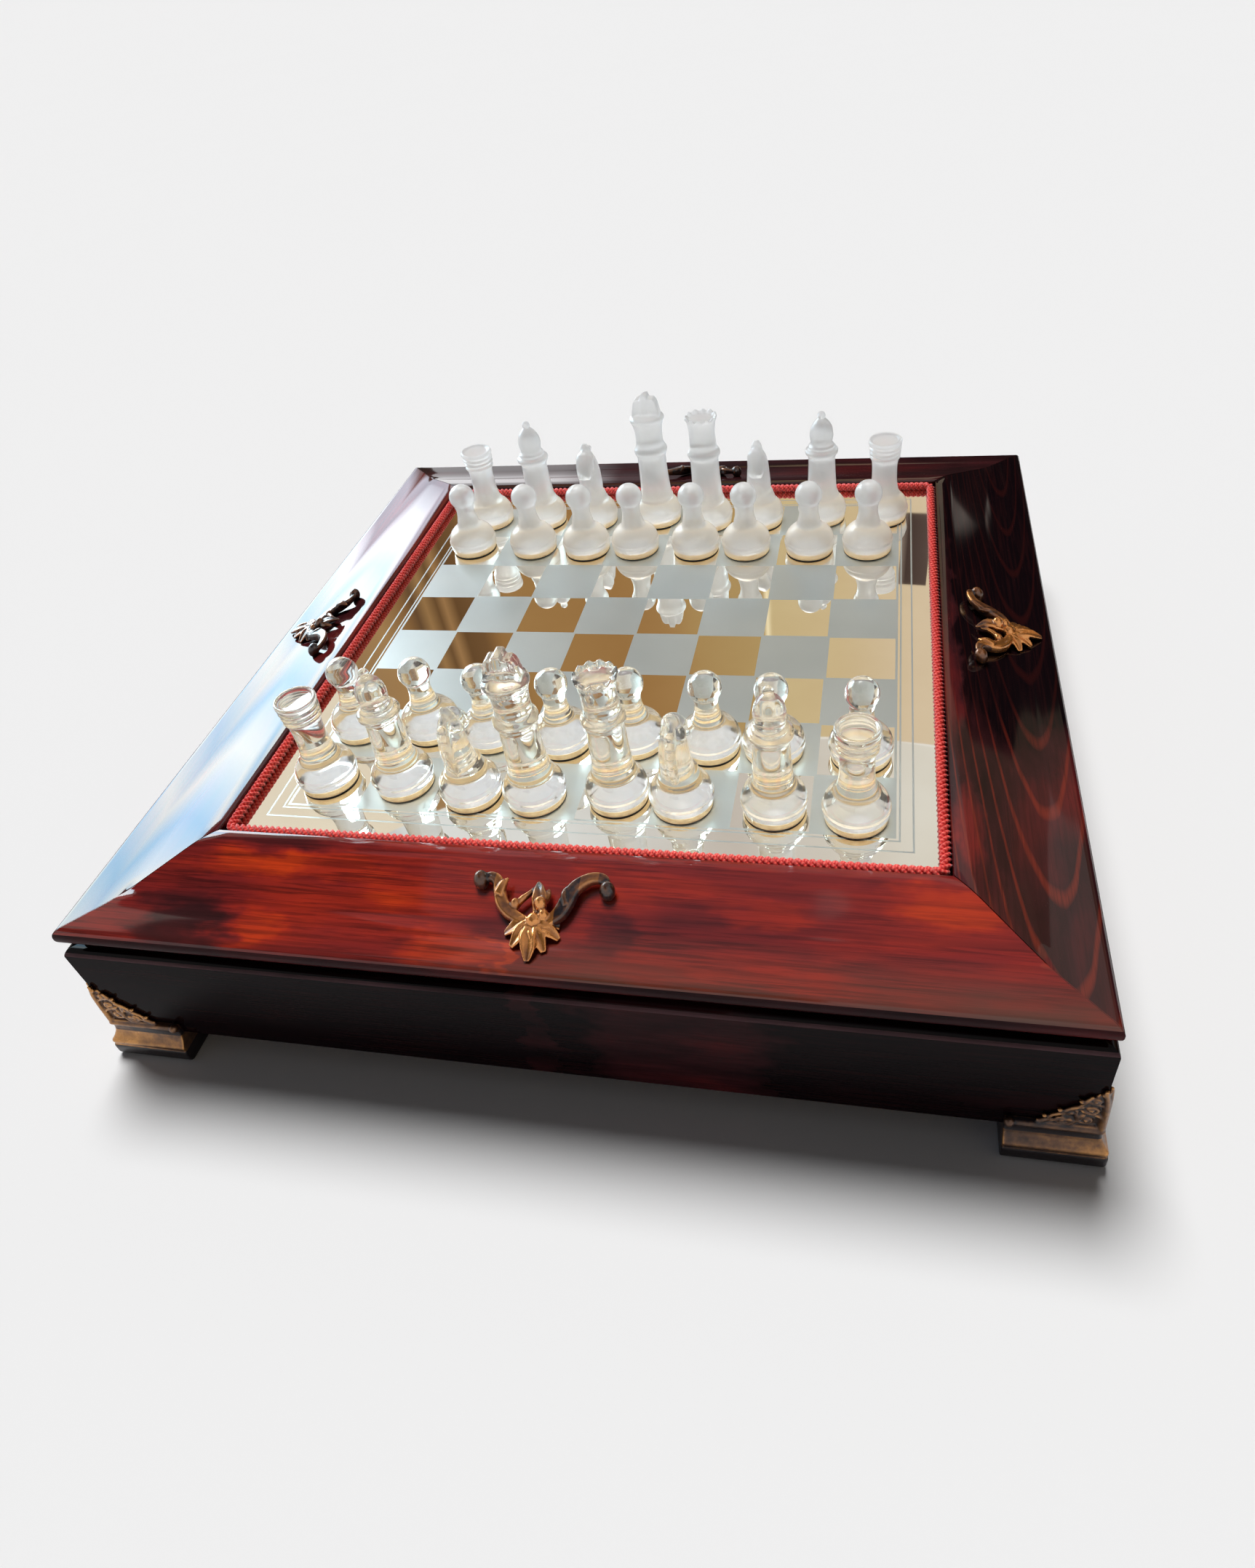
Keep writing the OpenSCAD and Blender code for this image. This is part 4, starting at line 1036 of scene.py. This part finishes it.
# how far each man stands from the middle of its square, as in the part's source
OFF_CENTRE = {
    "clear_back": [(-3, 0), (0.5, 0), (1, -3.5), (-2, -3.5), (0.5, -1.5), (-3.5, -3), (1, -3.5), (1, -5)],
    "clear_pawns": [(-2, 2), (0, 3), (-1, 0), (0.5, -1.5), (1, 0), (2, -1), (-2, -1.5), (1.5, -2)],
    "frosted_back": [(-0.5, 1.5), (1, 1.5), (1, 0.5), (6, 2.5), (5, -1.5), (2.5, -0.5), (5, 2.5), (6.5, 2.5)],
    "frosted_pawns": [(-1.5, 2.5), (3, 1.5), (3, 0.5), (0, 1), (2, 0.5), (-1, 0), (1, 0), (0, 0.5)]}


def foot(r):
    """Every man's foot: a low bowl, widest a third up, under a dome that draws in to the stem radius r.
    The mould leaves a shallow hollow underneath, so only the rim sits on the paper."""
    return [(0, 2.3), (4.5, 2.0), (7.4, 1.3), (8.3, 0.9), (10.3, 0.9), (10.6, 1.3), (10.75, 1.9), (11.0, 3.4),
            (11.3, 5.0), (11.35, 5.8), (11.1, 6.3), (10.85, 6.7), (10.9, 7.3), (10.55, 8.5), (9.8, 9.9),
            (8.8, 11.1), (7.7, 12.1), (r + 0.9, 13.2), (r + 0.25, 14.4), (r, 16.0)]


OUTLINES = {
    "pawn": foot(5.0) + [(4.6, 17.4), (4.3, 19), (4.2, 21.5), (4.6, 23.4)] + arc(0, 28, 6, -38, 90, 14),
    "rook": foot(6.3) + [(6.0, 17.4), (5.7, 20), (5.6, 25), (5.8, 28.4), (6.2, 30.2), (6.8, 30.8),
        (6.8, 31.5), (6.1, 32.0), (6.1, 32.3), (7.0, 32.9), (7.0, 33.6), (6.3, 34.1), (6.3, 34.4),
        (7.2, 35.0), (7.2, 35.7), (6.5, 36.2), (6.5, 36.5), (7.4, 37.1), (7.5, 38.5), (7.1, 39.3),
        (6.3, 39.2), (5.9, 38.6), (5.2, 38.3), (0, 38.1)],
    "bishop": foot(6.8) + [(6.6, 18), (6.3, 23), (6.1, 29), (6.1, 31.8), (6.5, 32.8), (7.3, 33.6),
        (7.6, 34.6), (7.3, 35.5), (6.2, 36.0), (5.8, 36.6), (6.1, 37.3), (5.2, 37.9), (4.8, 38.8),
        (5.2, 41), (5.4, 42.5), (5.1, 45), (4.1, 47.4), (2.5, 49.3),
        (1.35, 50.2)] + arc(0, 51.3, 1.85, -35, 90, 8),
    "queen": foot(7.2) + [(7.0, 18.5), (6.7, 26), (6.6, 33), (6.7, 34.8), (7.4, 35.7), (7.7, 36.8),
        (7.4, 38.0), (6.6, 38.7), (6.2, 40.5), (6.0, 45), (6.1, 49), (6.6, 52), (7.3, 54.0), (7.5, 55),
        (6.8, 55.2), (6.0, 54.4), (5.2, 53.2), (0, 52.8)],
    "king": foot(7.4) + [(7.2, 18), (6.9, 23), (6.7, 29), (6.7, 33.6), (7.0, 35.2), (7.7, 36.2),
        (7.9, 37.4), (7.5, 38.6), (6.8, 39.4), (6.4, 41), (6.3, 44), (6.5, 47.5), (7.2, 50.4), (7.9, 51.8),
        (8.1, 52.8), (7.7, 53.6), (6.9, 54.0), (5.6, 54.4), (3.0, 55.0), (0, 55.4)],
    "knight": foot(6.8) + [(6.4, 16.8), (5.6, 17.4), (0, 17.6)]}


def rounded(outline, times=2, keep=5):
    """Softens an outline by cutting its corners, leaving the first few points and the ends."""
    for _ in range(times):
        out = list(outline[:keep])
        for a, b in zip(outline[keep - 1:], outline[keep:]):
            out.append((a[0] * 0.75 + b[0] * 0.25, a[1] * 0.75 + b[1] * 0.25))
            out.append((a[0] * 0.25 + b[0] * 0.75, a[1] * 0.25 + b[1] * 0.75))
        outline = out + [outline[-1]]
    return outline


def lathe(outline, crown=False):
    """A closed turned solid from an outline that starts and ends on the axis. A crown's rim is
    cut into twelve points."""
    rows = []
    for r, z in outline[1:-1]:
        dip = 0.6 * min(1.0, (z - CROWN_LOW) / 1.2) if crown and z > CROWN_LOW and r > 5.5 else 0.0
        rows.append([(r * math.cos(a), r * math.sin(a), z - dip * (1 - math.cos(12 * a)))
                     for a in around(56)])
    return pointed(rows, (0, 0, outline[0][1]), (0, 0, outline[-1][1]))


def horse_parts():
    """A plain horse's head and neck, looking to +Y."""
    parts = []

    def limb(points, radii, flat=1.0):
        """A part of the head or neck along a smooth line."""
        line, fat = curve_through(points, radii, 6)
        parts.append(spindle(line, fat, flat=flat, sides=20, up=(1, 0, 0)))

    limb([(0, 0.2, 14.5), (0, -1.2, 19), (0, -2.2, 24), (0, -2.0, 29), (0, -0.8, 33), (0, 0.9, 36.4)],
         [5.6, 6.0, 5.6, 5.1, 4.5, 3.0], 0.96)
    limb([(0, -1.0, 35.4), (0, 1.6, 34.6), (0, 4.4, 31.6), (0, 6.4, 28.2), (0, 7.2, 26.4)],
         [2.8, 4.0, 3.8, 3.2, 2.3], 1.06)
    limb([(0, 0.6, 31.6), (0, 2.2, 30.4), (0, 3.6, 29.0)], [3.4, 3.7, 2.0], 1.05)
    limb([(0, 2.0, 14.5), (0, 2.6, 17.5), (0, 1.6, 20.5), (0, 0.4, 23)], [3.4, 3.6, 2.8, 1.6])
    for hand in (-1, 1):
        limb([(hand * 0.9, -0.6, 36.4), (hand * 0.7, -0.9, 38.8), (hand * 0.3, -1.3, 41.2)], [2.0, 1.6, 0.7])
        parts.append(ball((hand * 2.9, 2.6, 33.6), 0.9))
        parts.append(ball((hand * 1.7, 6.9, 27.5), 0.8))
    limb([(0, 1.6, 38.2), (0, -1.4, 38.6), (0, -4.4, 35.6), (0, -6.6, 30.6), (0, -7.4, 25), (0, -7.0, 19.4),
          (0, -5.4, 15.4)], [0.8, 1.5, 1.7, 1.7, 1.6, 1.7, 1.2])
    for i in range(6):
        t = i / 5
        parts.append(ball((0, -4.6 - 3.4 * math.sin(math.pi * (0.25 + 0.5 * t)), 36 - 17.5 * t), 1.5))
    return parts


def cross():
    """The king's cross: a broad wedge across X that narrows to the top, with a raised upright."""
    parts = []
    for half, (low, top), thick in ((6.6, (53.6, 62.2), 2.6), (2.1, (53.6, 64.0), 3.3)):
        edge = [(half, low), (half * 0.93, low + 3), (half * 0.8, top - 1.6), (half * 0.62, top)]
        ring = [(-half, low)] + edge + [(-x, z) for x, z in edge[:0:-1]]
        parts.append(flat_ended([[(x, y, z) for x, z in ring] for y in (-thick, thick)]))
    return joined(parts)


def fused(parts, voxel, smooth):
    """The mesh of parts melted together."""
    made = cast("melt", parts, voxel, smooth, crystal)
    mesh = made.data
    bpy.data.objects.remove(made)
    return [tuple(v.co * PER_METRE) for v in mesh.vertices], [tuple(p.vertices) for p in mesh.polygons]


FORMS = {kind: lathe(rounded(OUTLINES[kind]), kind == "queen")
         for kind in ("pawn", "rook", "bishop", "queen")}
FORMS["king"] = fused([lathe(rounded(OUTLINES["king"])), cross()], 0.42, 2)
FORMS["knight"] = fused([lathe(rounded(OUTLINES["knight"]))] + horse_parts(), 0.4, 4)
# felt, its paper, and an amber rim that rises inside the edge
DISC = lathe([(0, 0.0), (10.2, 0.0), (10.45, 0.15), (10.45, 0.5), (10.5, 0.55), (10.5, 0.9), (10.4, 0.98),
              (10.15, 1.0), (10.15, 2.9), (9.8, 2.9), (9.8, 0.98), (0, 0.98)])


def disc_kind(loop):
    """The finish of one face of the disc: 3 pale paper in the middle, 2 amber paper at the rim, 1 felt."""
    heights = [DISC[0][i][2] for i in loop]
    if len(loop) == 3 and max(heights) > 0.9:
        return 3
    return 2 if max(heights) > 1.5 or min(heights) > 0.4 else 1


def chessman(name, kind, finish, x, y, turn):
    """A man on its felt disc, standing on the glass."""
    points, faces = joined([FORMS[kind], DISC])
    kinds = [0] * len(FORMS[kind][1]) + [disc_kind(loop) for loop in DISC[1]]
    way = Matrix.Rotation(math.radians(turn), 3, "Z")
    points = [tuple(way @ Vector(p) + Vector((x, y, GLASS_TOP))) for p in points]
    made = piece(name + "_glass", points, faces, [finish, felt, paper, pale_paper], kinds, crease=60)
    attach(made, name + "_man")
    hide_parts(name)


for army, finish, slot, back_turn, ranks in (("clear", crystal, "clear_glass", 0, (0, 1)),
                                             ("frosted", frost, "frosted_glass", 180, (7, 6))):
    for i, kind in enumerate(MEN):
        for man, row, rank, turn in ((kind, "_back", ranks[0], back_turn), ("pawn", "_pawns", ranks[1], 0)):
            dx, dy = OFF_CENTRE[army + row][i]
            chessman(f"{army}_{man}_{FILES[i]}", man, finish, (i - 3.5) * SQUARE + dx,
                     (rank - 3.5) * SQUARE + dy, turn)


# ------------------------------------------------ nodes whose own shape is kept

KEPT = {"board_backing": plywood, "base_floor": plywood, "spacer_frame": dark_wood, "centre_divider": plywood,
        "drawer_runners": drawer_wood, "screws": steel,
        "left_drawer_sides": drawer_wood, "right_drawer_sides": drawer_wood,
        "left_drawer_bottom": velvet, "right_drawer_bottom": velvet}
for name, finish in KEPT.items():
    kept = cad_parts[name]
    kept.data.materials.clear()
    kept.data.materials.append(finish)


# ----------------------------------------------------------------------- stage

def toward(azimuth, elevation, distance):
    """A place seen from the box: azimuth 0 is straight back, positive to the right."""
    a, e = math.radians(azimuth), math.radians(elevation)
    return Vector((math.sin(a) * math.cos(e), math.cos(a) * math.cos(e), math.sin(e))) * distance


def card(name, lows, tops, across, upward=((0.0, 1.0), (1.0, 1.0)), full=1.0, distance=2.6, in_glass=False):
    """A curved studio card that shows only in reflections. It runs from the first azimuth of its
    colours across to the last, with lower and upper edges given at both ends, and its brightness
    changes upward between 0 and full."""
    start, stop = across[0][0], across[-1][0]
    sheet, node = finish_of(name)
    place = node("ShaderNodeTexCoord", out="UV")
    paint = node("ShaderNodeValToRGB", node("ShaderNodeSeparateXYZ", place, out="X"), ramp=[
        ((at - start) / (stop - start), shade) for at, shade in across])
    glow = node("ShaderNodeValToRGB", node("ShaderNodeSeparateXYZ", place, out="Y"), ramp=upward)
    glow = node("ShaderNodeMath", glow, full, operation="MULTIPLY")
    node("ShaderNodeOutputMaterial", node("ShaderNodeEmission", paint, glow))
    wide, high = 12, 8
    row = wide + 1
    grid = [(i / wide, j / high) for j in range(high + 1) for i in range(row)]
    points = []
    for u, v in grid:
        low, top = lows[0] + u * (lows[1] - lows[0]), tops[0] + u * (tops[1] - tops[0])
        points.append(toward(start + u * (stop - start), low + v * (top - low), distance))
    mesh = bpy.data.meshes.new(name)
    mesh.from_pydata(points, [], [(j * row + i, j * row + i + 1, (j + 1) * row + i + 1, (j + 1) * row + i)
                                  for j in range(high) for i in range(wide)])
    plan = mesh.uv_layers.new(name="UVMap")
    for loop in mesh.loops:
        plan.uv[loop.index].vector = grid[loop.vertex_index]
    mesh.materials.append(sheet)
    made = bpy.data.objects.new(name, mesh)
    scene.collection.objects.link(made)
    made.visible_camera = made.visible_diffuse = made.visible_shadow = False
    made.visible_transmission = in_glass


# what the mirror and the varnish show: a bright window with sheer curtains on the left, brown
# drapes behind that turn to cream on the right, a pale ceiling, and the unlit parts of a room
DAYLIGHT = ((0.0, 0.36), (0.5, 0.7), (1.0, 1.0))
card("window", (-1, -1), (37, 37), [
    (-76, "#c6ebff"), (-68, "#f2ffff"), (-62, "#acdeff"), (-57, "#f2ffff"), (-52, "#b8e4ff"),
    (-47, "#f2ffff"), (-46, "#f2ffff")], DAYLIGHT, 13, in_glass=True)
card("window_end", (-1, -1), (37, 31.5), [
    (-46, "#f2ffff"), (-43, "#c8ecff"), (-39.5, "#eaf8ff")], DAYLIGHT, 13, in_glass=True)
card("window_wall", (-1, -1), (31.5, 26.5), [
    (-39.5, "#e0e6ee"), (-38.4, "#c4cad2"), (-37.1, "#a4aab4"), (-36.3, "#858a94"), (-33, "#858a94"),
    (-31.6, "#40403f"), (-31, "#302f2e")], ((0.0, 0.25), (0.45, 0.55), (0.8, 1.0)), 17)
card("pelmet", (37, 31.5), (44, 44), [(-76, "#f4f0e6"), (-39.5, "#f0e6d4")], full=0.95)
card("drapes_left", (31.5, 26.5), (44, 44), [
    (-39.5, "#9a7c5a"), (-36, "#a8865c"), (-34, "#8a6844"), (-33.2, "#6a5038"), (-32.4, "#9c7a52"),
    (-31.6, "#6e5236"), (-31, "#a07c54")])
card("drapes", (26.5, 19), (44, 44), [
    (-31, "#a07c54"), (-30.2, "#6a4e32"), (-28.8, "#745638"), (-27.6, "#987246"), (-26, "#a27e50"),
    (-18, "#9e784a"), (-14, "#a68254"), (-12, "#ae9060"), (-6.4, "#b89e6e"), (-6.1, "#fff3cf"),
    (-5.7, "#cfbc92"), (0, "#d4c09a"), (6, "#dccab0"), (11, "#dccab0")])
card("ceiling", (44, 44), (58, 58), [
    (-76, "#3a3232"), (-48, "#4a4242"), (-40, "#e6ecf2"), (-28, "#e4e8ec"), (-10, "#ccc6c2"),
    (8, "#e2e0da"), (20, "#e0dad0"), (62, "#d0c0a8")])
card("overhead", (58, 58), (89, 89), [(-76, "#c4c0cc"), (180, "#c4c0cc")], full=0.6)
card("overhead_left", (65, 65), (89, 89), [(-180, "#c4c0cc"), (-76, "#c4c0cc")], full=0.6)
card("unlit_left", (37, 37), (65, 65), [(-180, "#3a3434"), (-76, "#3a3434")])
card("unlit_right", (-1, -1), (39.5, 40), [(11, "#0c0a0b"), (20, "#0e0b0c")])
card("unlit_far_right", (-1, -1), (40, 24), [(20, "#0e0b0c"), (46, "#14100f")])
card("unlit_side", (-1, -1), (24, 18), [(46, "#14100f"), (100, "#1c1716")])
card("warm_wall", (39.5, 40), (44, 44), [(11, "#d8c8ac"), (20, "#d8c4a8")], full=0.6)
card("warm_wall_right", (40, 24), (44, 44), [(20, "#d8c4a8"), (46, "#c8a888")], full=0.5)
card("warm_wall_side", (24, 18), (44, 44), [(46, "#c8a888"), (100, "#b89878")], full=0.6)
card("door_gleam", (18.5, 19), (24, 22), [
    (21, "#2a2422"), (22, "#e8dcd0"), (23, "#a89c94"), (24.2, "#d8ccc0"),
    (25.5, "#2a2422")], ((0.0, 0.3), (0.35, 1.0), (0.8, 0.7), (1.0, 0.1)), 1.5, 2.5)
card("door_edge", (29.5, 29.5), (34, 34), [
    (4.2, "#8a7c74"), (4.7, "#4a3c38"), (6.3, "#5a4c48")], distance=2.5)
card("unlit_back", (-1, -1), (26.5, 19), [(-31, "#6a5c50"), (-15, "#1a1413"), (11, "#120e0d")])

# a low dark board close behind the box, which its back rail reflects
card("back_board", (0.5, 0.5), (22, 22), [
    (-34, "#f0f0f2"), (-21, "#dcdadc"), (-15, "#54484a"), (8, "#1a1312"),
    (75, "#120d0c")], full=2.0, distance=0.52)

floor_mesh = bpy.data.meshes.new("floor")
floor_mesh.from_pydata([(-30, -30, 0), (30, -30, 0), (30, 30, 0), (-30, 30, 0)], [], [(0, 1, 2, 3)])
floor_paint, node = finish_of("matt_floor_paint")
node("ShaderNodeOutputMaterial", node("ShaderNodeBsdfPrincipled", {
    "Base Color": colour("#efefef"), "Roughness": 1.0, "Specular IOR Level": 0.0}))
floor_mesh.materials.append(floor_paint)
floor = bpy.data.objects.new("floor", floor_mesh)
scene.collection.objects.link(floor)

world = bpy.data.worlds.new("studio")
scene.world = world
world.use_nodes = True
world.node_tree.nodes.clear()
node = partial(add, world.node_tree)
in_glass = node("ShaderNodeLightPath", out="Is Transmission Ray")
seen = node("ShaderNodeMath", node("ShaderNodeLightPath", out="Is Glossy Ray"), in_glass, operation="MAXIMUM")
seen = node("ShaderNodeMath", seen, node("ShaderNodeLightPath", out="Is Camera Ray"), operation="MAXIMUM")
level = node("ShaderNodeMapRange", seen, 0.0, 1.0, 0.1, 1.0)
# the fill is cool from the left and warm from the right, and adds up to white on the floor
lean = node("ShaderNodeSeparateXYZ", node("ShaderNodeTexCoord", out="Generated"), out="X")
lean = node("ShaderNodeMapRange", lean, -0.8, 0.8, 0.0, 1.0)
fill = node("ShaderNodeValToRGB", lean, ramp=[(0.0, "#cfe0ff"), (1.0, "#ffe9c8")])
fill = node("ShaderNodeMix", {0: seen, 6: fill, 7: colour("#efefef")}, out=2, data_type="RGBA")
# glass draws in the same cool and warm sides of the room
drawn = node("ShaderNodeValToRGB", lean, ramp=[(0.0, "#d6dfee"), (1.0, "#e2d6c2")])
fill = node("ShaderNodeMix", {0: in_glass, 6: fill, 7: drawn}, out=2, data_type="RGBA")
node("ShaderNodeOutputWorld", node("ShaderNodeBackground", fill, level))

sun = bpy.data.lights.new("soft_key", "SUN")
sun.energy, sun.angle = 3.19, math.radians(25)
sun.cycles.use_multiple_importance_sampling = False
key = bpy.data.objects.new("soft_key", sun)
key.rotation_mode = "QUATERNION"
key.rotation_quaternion = toward(-24, 66, 1.0).to_track_quat("Z", "Y")
key.visible_glossy = False
scene.collection.objects.link(key)

camera = bpy.data.cameras.new("camera")
camera.sensor_width, camera.sensor_fit = 36.0, "AUTO"
camera.lens = 22.59
camera.shift_x, camera.shift_y = -0.02588, -0.03774
camera.clip_start, camera.clip_end = 0.01, 100
eye = bpy.data.objects.new("camera", camera)
eye.location = (0.10029, -0.32838, 0.31238)
eye.rotation_euler = [math.radians(a) for a in (49.2114, 6.3083, 10.2045)]
scene.collection.objects.link(eye)
scene.camera = eye
scene.view_settings.view_transform = "Standard"
